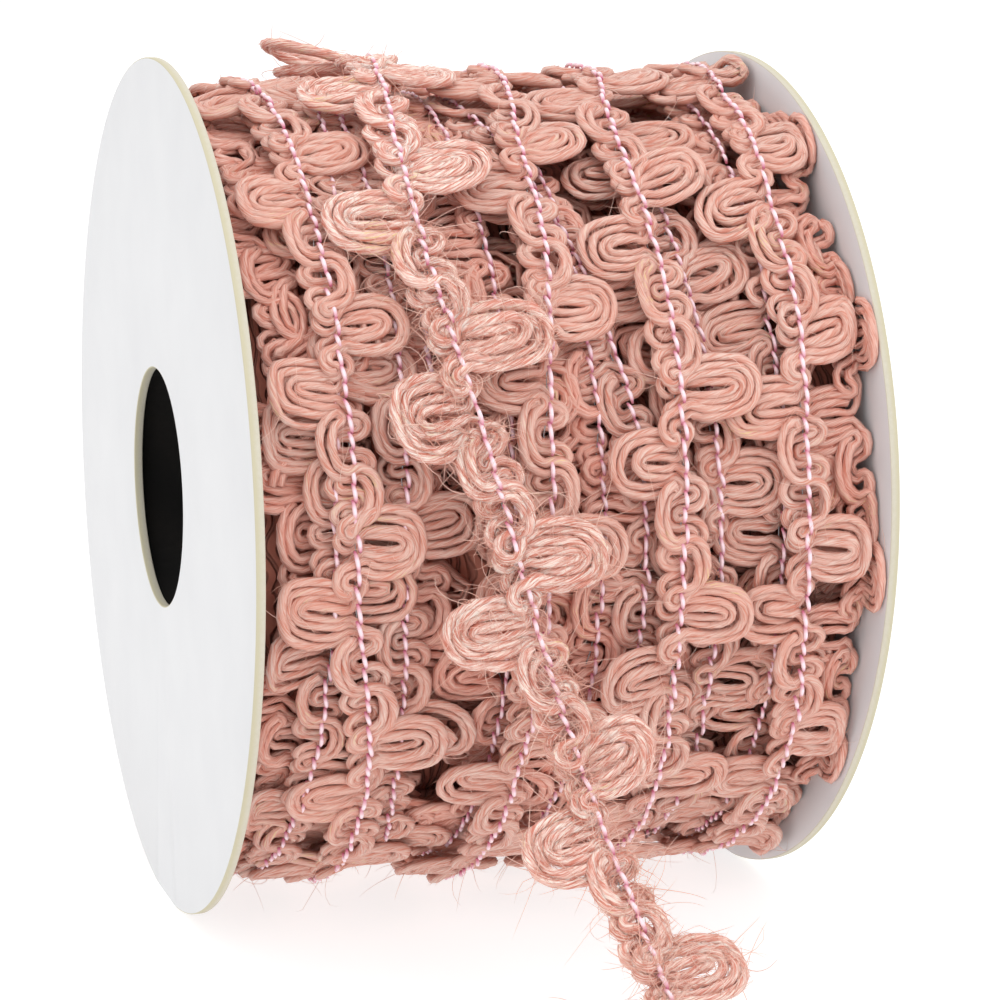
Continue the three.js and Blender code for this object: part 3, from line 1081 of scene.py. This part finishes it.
    def yarns(self, repeats: int) -> list[Array]:
        """Draws the four yarns flat.

        Args:
            repeats: Number of repeats.

        Returns:
            Each yarn's points along the trim, to the right and outward.
        """
        petals = self.petals(repeats)
        rng = np.random.default_rng(self.seed + self.wander_seed)
        yarns = []
        for chart, level in ((OUTER_PAIR, self.outer_height), (INNER_PAIR, self.inner_height)):
            line = self.pair_line(chart, level, repeats, petals)
            heading = unit(np.gradient(line[:, :2], axis=0))
            side = np.stack([-heading[:, 1], heading[:, 0], np.zeros(len(line))], axis=1)
            along = lengths_along(line)
            narrow = np.clip(1 - np.abs(line[:, 1]) / self.narrow_reach, 0, 1)
            roll = drift(rng, self.roll_wander, along) + narrow * drift(rng, self.narrow_roll_wander, along)
            offset = side * np.cos(roll)[:, None]
            offset[:, 2] = np.sin(roll)
            loose = line[:, 0] > self.raised_repeat * REPEAT
            gap = np.where(loose, self.loose_gap, self.pair_gap) / 2
            gap = gap * (1 + drift(rng, self.gap_wander, along))
            for sign in (1, -1):
                sway = drift(rng, self.side_wander, along)[:, None] * side
                sway[:, 2] += drift(rng, self.height_wander, along)
                yarns.append(line + offset * (sign * gap)[:, None] + sway)
        return yarns


@dataclass(frozen=True)
class Stretch:
    """A stretch of the trim that is one piece, and how finely its yarns are made."""

    name: str
    first: float
    last: float
    sides: int
    step: float
    lobe: float = 0.0
    stitch_sides: int = 4
    sewn: bool = True


@dataclass
class SewnStretch:
    """The pieces of a stretch, and its yarns as strands."""

    yarns: Object
    stitches: Object
    wire: Object
    strands: list[Strand]


@dataclass
class WoundTrim:
    """The trim on its route: yarns, stitches and wire, stretch by stretch."""

    trim: LoopTrim
    route: Route
    stretches: tuple[Stretch, ...]
    repeats: int
    replaces: str
    yarn_radius: float = 0.53
    stitch_pitch: float = 1.87
    stitch_length: float = 2.0
    stitch_radius: float = 0.26
    stitch_height: float = 0.8
    stitch_arch: float = 0.45
    arch_rise: float = 0.7
    stitch_taper: float = 0.38
    taper_rise: float = 0.8
    slant: float = 0.15
    uneven_slant: float = 0.08
    uneven_length: float = 0.1
    uneven_place: float = 0.12
    fine_steps: int = 7
    coarse_steps: int = 5
    coarse_sides: int = 4
    wire_sides: int = 3
    wire_radius: float = 0.09
    wire_step: float = 1.8
    wire_depth: float = 0.55
    wire_side_wander: Wander = (0.28, 3.0)
    wire_height_wander: Wander = (0.35, 6.0)
    radius_wander: Wander = (0.09, 3.5)
    rough: float = 0.075
    lobes: int = 3
    lobe_twist_mm: float = 9.0
    clearance: float = 0.02
    first_seed: int = 100

    def strands(self, stretch: Stretch, yarns: list[Array]) -> list[Strand]:
        """Lays the yarns of one stretch in space, none of them lower than the floor they lie on.

        Args:
            stretch: The stretch.
            yarns: The whole trim's yarns, drawn flat.

        Returns:
            The stretch's four strands.
        """
        found = []
        for yarn in yarns:
            begin = int(np.argmax(yarn[:, 0] >= stretch.first * REPEAT))
            beyond = yarn[:, 0] >= stretch.last * REPEAT
            end = int(np.argmax(beyond)) + 1 if beyond.any() else len(yarn)
            laid, outward = self.route.lay(yarn[begin:end])
            both = spaced_by_bend(np.concatenate([laid, outward], axis=1), stretch.step)
            both[:, 2] = np.maximum(both[:, 2], self.yarn_radius)
            found.append(Strand(both[:, :3], unit(both[:, 3:]), self.yarn_radius))
        return found

    def sweep(self, mesh: Mesh, strand: Strand, sides: int, lobe: float, rng: Rng) -> None:
        """Adds a strand's tube to a mesh, pressed flat where it meets the card or the floor.

        Args:
            mesh: The mesh.
            strand: The strand.
            sides: Corners of the yarn's section.
            lobe: How far the plies stand out, as a share of the radius.
            rng: Source of random numbers.
        """
        ahead = unit(np.gradient(strand.points, axis=0))
        side = unit(np.cross(strand.outward, ahead))
        up = np.cross(ahead, side)
        along = lengths_along(strand.points)
        turn = np.arange(sides) * FULL_TURN / sides
        radius = strand.radius * (1 + drift(rng, self.radius_wander, along))[:, None]
        wave = np.cos(self.lobes * (turn[None, :] + along[:, None] * FULL_TURN / self.lobe_twist_mm))
        radius = radius * (1 + lobe * wave + self.rough * rng.normal(size=(len(along), sides)))
        across = np.cos(turn)[None, :, None] * side[:, None] + np.sin(turn)[None, :, None] * up[:, None]
        rings = strand.points[:, None] + across * np.broadcast_to(radius, (len(along), sides))[..., None]
        limit = INNER_HALF_WIDTH - self.clearance
        rings[..., 0] = np.clip(rings[..., 0], -limit, limit)
        rings[..., 2] = np.maximum(rings[..., 2], self.clearance)
        mesh.add_tubes(rings[None], along[None])

    def stitch_rings(self, stretch: Stretch, rng: Rng) -> tuple[Array, Array]:
        """Works out the stitches of one stretch.

        Args:
            stretch: The stretch.
            rng: Source of random numbers.

        Returns:
            Their rings, and where each ring lies along its stitch.
        """
        steps = self.fine_steps if stretch.stitch_sides > self.coarse_sides else self.coarse_steps
        share = np.linspace(0, 1, steps)
        pitch = self.stitch_pitch
        starts = np.arange(stretch.first * REPEAT, stretch.last * REPEAT - pitch, pitch)
        count = len(starts)
        length = self.stitch_length * (1 + self.uneven_length * rng.normal(size=count))
        slant = self.slant + self.uneven_slant * rng.normal(size=count)
        aside = self.uneven_place * rng.normal(size=count)
        arch = self.stitch_arch * np.sin(share * math.pi) ** self.arch_rise
        flat = [
            starts[:, None] + length[:, None] * share,
            aside[:, None] + slant[:, None] * (2 * share - 1),
            self.stitch_height + arch[None] + self.uneven_place * rng.normal(size=(count, 1)),
        ]
        laid, outward = self.route.lay(np.stack(flat, axis=-1).reshape(-1, 3))
        laid = laid.reshape(count, steps, 3)
        outward = outward.reshape(count, steps, 3)
        ahead = unit(np.gradient(laid, axis=1))
        side = unit(np.cross(outward, ahead))
        up = np.cross(ahead, side)
        turn = np.arange(stretch.stitch_sides) * FULL_TURN / stretch.stitch_sides
        swell = np.sin(share * math.pi) ** self.taper_rise
        radius = self.stitch_radius * (1 - self.stitch_taper * (1 - swell))
        across = np.cos(turn)[:, None] * side[:, :, None] + np.sin(turn)[:, None] * up[:, :, None]
        rings = laid[:, :, None] + across * radius[None, :, None, None]
        return rings, np.broadcast_to(share, (count, steps))

    def wire_strand(self, stretch: Stretch, rng: Rng) -> Strand:
        """Lays the wire that is sewn in under the stitches.

        Args:
            stretch: The stretch.
            rng: Source of random numbers.

        Returns:
            The wire as a strand.
        """
        along = np.arange(stretch.first * REPEAT, stretch.last * REPEAT, self.wire_step)
        passed = along - along[0]
        aside = drift(rng, self.wire_side_wander, passed)
        height = drift(rng, self.wire_height_wander, passed) - self.wire_depth
        laid, outward = self.route.lay(np.stack([along, aside, height], axis=1))
        return Strand(laid, outward, self.wire_radius)

    def build(self, jute: Material, thread: Material, wire: Material) -> dict[str, SewnStretch]:
        """Makes the pieces of every stretch.

        Args:
            jute: Material of the yarns.
            thread: Material of the stitches.
            wire: Material of the wire.

        Returns:
            The sewn stretches by name.
        """
        yarns = self.trim.yarns(self.repeats)
        made = {}
        for number, stretch in enumerate(self.stretches):
            rng = np.random.default_rng(self.trim.seed + self.first_seed + number)
            strands = self.strands(stretch, yarns)
            mesh = Mesh()
            for strand in strands:
                self.sweep(mesh, strand, stretch.sides, stretch.lobe, rng)
            yarn_piece = mesh.make(f"{stretch.name}_yarns", Slot.JUTE, [jute])
            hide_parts(self.replaces)
            if not stretch.sewn:
                continue
            mesh = Mesh()
            mesh.add_tubes(*self.stitch_rings(stretch, rng))
            stitch_piece = mesh.make(f"{stretch.name}_stitches", Slot.THREAD, [thread])
            mesh = Mesh()
            self.sweep(mesh, self.wire_strand(stretch, rng), self.wire_sides, 0.0, rng)
            wire_piece = mesh.make(f"{stretch.name}_wire", Slot.WIRE, [wire])
            made[stretch.name] = SewnStretch(yarn_piece, stitch_piece, wire_piece, strands)
        return made


@dataclass(frozen=True)
class StrayFibres:
    """Loose fibres that stand off the yarns, fewer of them high on the roll."""

    name: str
    count: int
    shortest: float
    longest: float
    radius: float
    curl: float
    lean: float
    steps: int
    seed: int
    sparse: float = 0.2
    dyed: bool = True
    sparse_above: float = 86.0
    past_side: float = 0.5
    scatter: float = 0.35
    mostly_short: float = 2.2
    rooted_at: float = 0.8
    uneven: float = 0.25
    taper: float = 0.6
    corners: int = 3
    clear_of_rim: float = 0.5
    clear_of_card: float = 0.1
    clear_of_floor: float = 0.05

    def grow(self, strands: list[Strand]) -> Mesh:
        """Grows the fibres from the yarns' surface.

        Args:
            strands: The yarns that they come out of.

        Returns:
            The fibres' mesh.
        """
        rng = np.random.default_rng(self.seed)
        points = np.concatenate([s.points for s in strands])
        ahead = np.concatenate([unit(np.gradient(s.points, axis=0)) for s in strands])
        outward = np.concatenate([s.outward for s in strands])
        chance = np.where(points[:, 2] > self.sparse_above, self.sparse, 1.0)
        pick = rng.choice(len(points), self.count, p=chance / chance.sum())
        points, ahead, outward = points[pick], ahead[pick], outward[pick]
        side = unit(np.cross(outward, ahead))
        turn = rng.uniform(-self.past_side, math.pi + self.past_side, self.count)[:, None]
        away = side * np.cos(turn) + np.cross(ahead, side) * np.sin(turn)
        ways = rng.choice([-1.0, 1.0], (self.count, 1))
        heading = unit(ahead * ways * self.lean + away + self.scatter * rng.normal(size=(self.count, 3)))
        axis = unit(np.cross(heading, rng.normal(size=(self.count, 3))))
        share = rng.random(self.count) ** self.mostly_short
        length = self.shortest + (self.longest - self.shortest) * share
        bend = self.curl * rng.normal(size=(2, self.count))
        place = points + away * strands[0].radius * self.rooted_at
        radius = self.radius * rng.uniform(1 - self.uneven, 1 + self.uneven, self.count)
        turn = np.arange(self.corners) * FULL_TURN / self.corners
        rings = []
        for step in range(self.steps):
            share = step / (self.steps - 1)
            up = np.cross(heading, axis)
            across = np.cos(turn)[:, None] * axis[:, None] - np.sin(turn)[:, None] * up[:, None]
            thin = radius * (1 - self.taper * share)
            rings.append(place[:, None] + across * thin[:, None, None])
            angle = ((bend[0] + (bend[1] - bend[0]) * share) * length / (self.steps - 1))[:, None]
            heading = unit(heading * np.cos(angle) + np.cross(axis, heading) * np.sin(angle))
            place = place + heading * (length / (self.steps - 1))[:, None]
        rings = np.stack(rings, axis=1)
        in_reel = np.hypot(rings[..., 1], rings[..., 2] - AXLE_HEIGHT) < RIM_RADIUS + self.clear_of_rim
        limit = INNER_HALF_WIDTH - self.clear_of_card
        rings[..., 0] = np.where(in_reel, np.clip(rings[..., 0], -limit, limit), rings[..., 0])
        rings[..., 2] = np.maximum(rings[..., 2], self.clear_of_floor)
        mesh = Mesh()
        mesh.add_spikes(rings[:, :-1], rings[:, -1, 0])
        return mesh

    def build(self, strands: list[Strand], dyed: Material, pale: Material) -> Object:
        """Makes the fibres' piece.

        Args:
            strands: The yarns that they come out of.
            dyed: Material of dyed fibres.
            pale: Material of those that took little dye.

        Returns:
            The piece.
        """
        return self.grow(strands).make(self.name, Slot.JUTE, [dyed if self.dyed else pale])


# Fibres of the loose end, which are thinned out where they would hide the rows behind them
LOOSE_END_FIBRES = (
    StrayFibres("loose_end_fuzz", 4500, 1.2, 4.5, 0.045, 0.4, 3.0, 4, 21),
    StrayFibres("loose_end_stray_fibres", 1000, 3.0, 11.0, 0.055, 0.32, 0.9, 9, 22, 0.05, dyed=False),
    StrayFibres("loose_end_down", 8000, 0.7, 2.2, 0.042, 0.0, 4.0, 2, 23, 0.5),
)

# Fibres of the outer rows
ROW_FIBRES = (
    StrayFibres("row_fuzz", 2200, 0.8, 3.0, 0.036, 0.6, 2.4, 3, 31),
    StrayFibres("row_down", 9000, 0.6, 1.9, 0.036, 0.0, 3.5, 2, 33, 0.5),
    StrayFibres("row_stray_fibres", 600, 2.5, 9.0, 0.042, 0.25, 0.8, 8, 32, dyed=False),
)


# Rows whose fibres show
OUTER_ROWS = ("first_row", "right_row", "middle_row", "inner_row")


@dataclass
class CardReel:
    """Two card flanges on a board tube, and the trim's first turns as one ring between them."""

    hole_radius: float = 14.3
    rounding: float = 0.12
    corner: float = 0.036
    segments: int = 240
    sharp_from: float = 50.0
    fill_radius: float = 39.7
    fill_bore: float = 18.3
    fill_gap: float = 0.3
    fill_step: float = 2.4
    fill_lump: float = 0.35
    fill_seed: int = 3

    def flange(self, name: str, outward: int, materials: list[Material]) -> None:
        """Makes one flange, with softly rounded edges and the flat spot that it stands on.

        Args:
            name: The node that it replaces.
            outward: -1 for the left flange, 1 for the right one.
            materials: Those of its faces and of its cut edges.
        """
        outer = outward * REEL_WIDTH / 2
        inner = outward * INNER_HALF_WIDTH
        low, high = self.hole_radius, RIM_RADIUS
        soft, corner = self.rounding, self.corner
        deep, slight = outward * soft, outward * corner
        profile = np.array([
            (low + soft, outer), (high - soft, outer), (high - corner, outer - slight),
            (high, outer - deep), (high, inner + deep), (high - corner, inner + slight),
            (high - soft, inner), (low + soft, inner), (low + corner, inner + slight),
            (low, inner + deep), (low, outer - deep), (low + corner, outer - slight),
        ])
        turn = np.arange(self.segments)[:, None] * FULL_TURN / self.segments
        rings = round_axle(profile[:, 1], profile[:, 0], -turn - math.pi / 2)
        rings[..., 2] = np.maximum(rings[..., 2], 0)
        piece = self.closed_ring(name + "_card", rings, outward > 0, materials)
        face, edge = 0, 1
        half_section = [face] + [edge] * (len(profile) // 2 - 1)
        faces = np.tile(half_section * 2, self.segments)
        piece.data.polygons.foreach_set("material_index", faces.astype(np.int32))
        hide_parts(name)

    def closed_ring(
        self, name: str, rings: Array, flip: bool, materials: list[Material]
    ) -> Object:
        """Makes a piece from rings that close on themselves both ways.

        Args:
            name: The piece's name.
            rings: Points of each ring, in millimetres.
            flip: Whether the faces' corners are turned round.
            materials: Its materials.

        Returns:
            The new piece.
        """
        steps, corners, _ = rings.shape
        here = np.arange(steps)[:, None] * corners
        following = (np.arange(steps)[:, None] + 1) % steps * corners
        one = np.arange(corners)[None]
        two = (one + 1) % corners
        quads = np.stack([here + one, following + one, following + two, here + two], axis=-1).reshape(-1, 4)
        if flip:
            quads = quads[:, ::-1]
        mesh = bpy.data.meshes.new(name)
        mesh.from_pydata((rings.reshape(-1, 3) * MM).tolist(), [], quads.tolist())
        mesh.shade_smooth()
        mesh.set_sharp_from_angle(angle=math.radians(self.sharp_from))
        return new_piece(mesh, materials)

    def fill(self, jute: Material) -> None:
        """Makes the hidden first layers of the trim as one lumpy ring.

        Args:
            jute: Its material.
        """
        half = INNER_HALF_WIDTH - self.fill_gap
        across = np.arange(half, -half - self.fill_step / 2, -self.fill_step)
        steps = round(FULL_TURN * self.fill_radius / self.fill_step)
        rng = np.random.default_rng(self.fill_seed)
        lumps = rng.normal(size=(steps, len(across)))
        lumps = (lumps + np.roll(lumps, 1, 0) + np.roll(lumps, 1, 1)) * self.fill_lump
        radius = np.full((steps, len(across) + 2), self.fill_bore)
        radius[:, 2:] = self.fill_radius + lumps
        turn = np.arange(steps)[:, None] * FULL_TURN / steps
        rings = round_axle(np.concatenate([[-half, half], across]), radius, turn)
        piece = self.closed_ring("wound_trim_fill", rings, False, [jute])
        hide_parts("wound_trim")

    def dress_core(self, board: Material) -> None:
        """Gives the tube between the flanges its board.

        Args:
            board: Its material.
        """
        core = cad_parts["core_tube"]
        core = bpy.data.objects[core] if isinstance(core, str) else core
        core.data.materials.clear()
        core.data.materials.append(board)

    def build(self) -> None:
        """Makes the flanges and the fill, and dresses the core."""
        card = CoatedCard("coated_card").make()
        for side, outward in (("left", -1), ("right", 1)):
            edge = CutCardEdge(f"cut_card_edge_{side}", outward * REEL_WIDTH / 2).make()
            self.flange(f"flange_{side}", outward, [card, edge])
        self.fill(PackedJuteInPaintedShade("packed_dyed_jute").make())
        self.dress_core(SpiralBoardInPaintedShade("spiral_board").make())


@dataclass
class Studio:
    """Camera, lamps and floor."""

    camera_place: tuple[float, float, float] = (-108.441, -357.521, 114.238)
    camera_yaw: float = 17.788
    camera_pitch: float = 10.225
    focal_length: float = 110.935
    sensor: float = 36.0
    clip_start: float = 0.01
    floor_half: float = 3000.0
    lamp_watts: float = 1.7
    key_place: tuple[float, float, float] = (0.35, -0.85, 0.8)
    key_size: float = 0.5
    top_place: tuple[float, float, float] = (-0.2, -0.1, 1.0)
    top_size: float = 0.6
    light_all_round: float = 1.06

    def camera(self) -> None:
        """Adds the camera at the photograph's angle."""
        data = bpy.data.cameras.new("camera")
        data.sensor_width = self.sensor
        data.lens = self.focal_length
        data.clip_start = self.clip_start
        camera = bpy.data.objects.new("camera", data)
        camera.location = [v * MM for v in self.camera_place]
        camera.rotation_euler = (math.radians(90 - self.camera_pitch), 0, math.radians(-self.camera_yaw))
        bpy.context.scene.collection.objects.link(camera)
        bpy.context.scene.camera = camera

    def lamp(self, name: str, place: tuple[float, float, float], size: float) -> None:
        """Adds a soft square lamp that faces the reel.

        Args:
            name: The lamp's name.
            place: Its place in metres.
            size: Its side in metres.
        """
        data = bpy.data.lights.new(name, "AREA")
        data.size = size
        data.energy = self.lamp_watts
        lamp = bpy.data.objects.new(name, data)
        lamp.location = place
        x, y, z = np.array([0, 0, AXLE_HEIGHT * MM]) - np.array(place)
        lamp.rotation_euler = (math.atan2(math.hypot(x, y), -z), 0, math.atan2(y, x) - math.pi / 2)
        bpy.context.scene.collection.objects.link(lamp)

    def floor(self, paper: Material) -> None:
        """Adds the floor.

        Args:
            paper: Its material.
        """
        half = self.floor_half * MM
        mesh = bpy.data.meshes.new("floor")
        corners = [(-half, -half, 0), (half, -half, 0), (half, half, 0), (-half, half, 0)]
        mesh.from_pydata(corners, [], [(0, 1, 2, 3)])
        mesh.materials.append(paper)
        floor = bpy.data.objects.new("floor", mesh)
        bpy.context.scene.collection.objects.link(floor)

    def build(self) -> None:
        """Adds the camera, the lamps, the floor and the light all round."""
        self.camera()
        self.lamp("key", self.key_place, self.key_size)
        self.lamp("top", self.top_place, self.top_size)
        self.floor(StudioTable("studio_table").make())
        world = bpy.data.worlds.new("studio")
        world.use_nodes = True
        background = world.node_tree.nodes["Background"].inputs
        background["Color"].default_value = (1, 1, 1, 1)
        background["Strength"].default_value = self.light_all_round
        bpy.context.scene.world = world
        bpy.context.scene.view_settings.view_transform = "Standard"


def loose_end_path() -> Array:
    """Works out the loose end's route from its tables.

    Returns:
        Points in millimetres, evenly spaced.
    """
    angle, across, radius = np.array(ON_ROLL, float).T
    on_roll = round_axle(across, radius, np.radians(angle))
    rows = np.concatenate([on_roll, np.array(OFF_ROLL, float)])
    return spaced(smooth_curve(rows, LOOSE_SAMPLES), LOOSE_STEP)


def whole_route(loose: Array) -> Route:
    """Joins the route of the wound trim to that of its loose end.

    Args:
        loose: The loose end's route.

    Returns:
        The route of the outer layers and the loose end.
    """
    wound = np.arange(LINE[0][0], LINE[-1][0], WOUND_STEP)
    roll = round_axle(read_table(LINE, wound), read_table(LEVELS, wound), np.radians(90 - wound))
    roll_repeats = np.interp(wound, *np.array(REPEATS_WOUND, float).T)
    along = lengths_along(loose)
    marks = np.array(LOOSE_PETALS)
    numbers = FIRST_LOOSE_REPEAT + np.arange(len(marks))
    repeats = np.interp(along, marks, numbers)
    repeats = np.where(along < marks[0], numbers[0] - (marks[0] - along) / REPEAT, repeats)
    repeats = np.where(along > marks[-1], numbers[-1] + (along - marks[-1]) / REPEAT, repeats)
    return Route(np.concatenate([roll_repeats, repeats]), np.concatenate([roll, loose]))


@dataclass(frozen=True)
class InnerLayer:
    """A layer of the trim under the rows that show best."""

    name: str
    seed: int
    repeats: int
    radius: float
    lead: float
    first_across: float
    last_across: float
    side_turns: float
    step: float
    side_rise: float = 0.0
    sewn: bool = False
    sides: int = 4
    side_from: float = 27.0
    side_blend: float = 4.5
    sway: float = 1.2
    sways_each_turn: float = 0.83
    soft_from: float = 33.4
    widest: float = 35.1
    first: float = 0.3
    spare: float = 0.5

    def route(self) -> Route:
        """Winds the layer round the reel.

        Returns:
            The layer's route.
        """
        turns = self.repeats * REPEAT / (FULL_TURN * self.radius)
        wound = np.arange(0, turns, 1 / 360)
        share = np.clip((wound - self.side_turns) / (turns - 2 * self.side_turns), 0, 1)
        across = self.first_across + (self.last_across - self.first_across) * share
        across += self.sway * np.sin(FULL_TURN * wound * self.sways_each_turn)
        near_side = np.clip((across - self.side_from) / self.side_blend, 0, 1)
        turn = math.radians(90 - self.lead) - FULL_TURN * wound
        places = round_axle(across, self.radius + self.side_rise * near_side, turn)
        return Route(wound / turns * self.repeats, places, self.soft_from, self.widest)

    def build(self, jute: Material, thread: Material, wire: Material) -> None:
        """Makes the layer's pieces.

        Args:
            jute: Material of the yarns.
            thread: Material of the stitches.
            wire: Material of the wire.
        """
        last = self.repeats - self.spare
        stretch = Stretch(self.name, self.first, last, self.sides, self.step, sewn=self.sewn)
        trim = LoopTrim(seed=self.seed)
        layer = WoundTrim(trim, self.route(), (stretch,), self.repeats + 1, "wound_trim")
        layer.build(jute, thread, wire)


INNER_LAYERS = (
    InnerLayer("between_layer", 59, 25, 45.0, 20.0, 2.5, -14.0, 0.2, 1.2, sewn=True),
    InnerLayer("deep_layer", 71, 70, 43.9, 0.0, 33.2, -31.4, 0.95, 1.12, 1.9),
    InnerLayer("deepest_layer", 83, 62, 41.9, 70.0, 31.6, -31.0, 0.3, 2.2, sides=3),
)


def main() -> None:
    """Builds the studio, the trim and the reel in order."""
    Studio().build()
    jute = DyedJute("dyed_jute").make()
    thread = SewingThread("sewing_thread").make()
    wire = DrawnWire("drawn_wire").make()
    fibre = LooseFibre("loose_jute_fibre").make()
    dyed_fibre = LooseFibre("dyed_jute_down", "#F6C9B6", "#DE9680").make()
    # A paler copy of the jute for the loose end: painted light, for the light on the end that hangs out in
    # front of the roll, with stronger streaks and furrows.
    lit_loose_jute = DyedJute(
        "sprung_dyed_jute",
        "#FFF0E6",
        "#F5BBA9",
        "#D27C67",
        fibres_round=3.4,
        furrow_depth_mm=0.22,
        softened=(0.0, 0.25),
        seep=0.35,
        streak_range=(0.4, 0.62),
    ).make()
    loose = loose_end_path()
    route = whole_route(loose)
    last = float(route.repeats[-1])
    joint = FIRST_LOOSE_REPEAT - LOOSE_PETALS[0] / REPEAT
    trim = LoopTrim()

    stretch = Stretch("loose_end", joint, last, 8, 0.5, 0.1, 8)
    loose_end = WoundTrim(trim, route, (stretch,), math.ceil(last) + 1, "loose_end", 0.59)
    tail = loose_end.build(lit_loose_jute, thread, wire)["loose_end"]
    fibres = [each.build(tail.strands, dyed_fibre, fibre) for each in LOOSE_END_FIBRES]

    stretches = (
        Stretch("lower_layer_start", 0.8, 10.5, 4, 1.0),
        Stretch("first_row", 10.5, 21.0, 6, 0.7, stitch_sides=6),
        Stretch("lower_layer_left", 21.0, 48.0, 4, 0.92),
        Stretch("lower_layer_right", 48.0, 74.5, 4, 0.92),
        Stretch("right_row", 74.5, 87.0, 6, 0.75, stitch_sides=6),
        Stretch("middle_row", 87.0, 98.0, 6, 0.75, stitch_sides=6),
        Stretch("inner_row", 98.0, joint, 6, 0.75, stitch_sides=6),
    )
    rows = WoundTrim(trim, route, stretches, math.ceil(last) + 1, "wound_trim")
    made = rows.build(jute, thread, wire)
    outer = [strand for name in OUTER_ROWS for strand in made[name].strands]
    for each in ROW_FIBRES:
        each.build(outer, dyed_fibre, fibre)

    # A lighter, redder copy of the jute for the inner layers: painted light, lifting the shade deep in the
    # roll between the rows.
    pressed = DyedJute("pressed_dyed_jute", "#F3CEC0", "#EDA490", "#CF7A64").make()
    for layer in INNER_LAYERS:
        layer.build(pressed, thread, wire)
    CardReel().build()


if __name__ == "__main__":
    logging.basicConfig(level=logging.INFO, format="%(message)s")
    main()
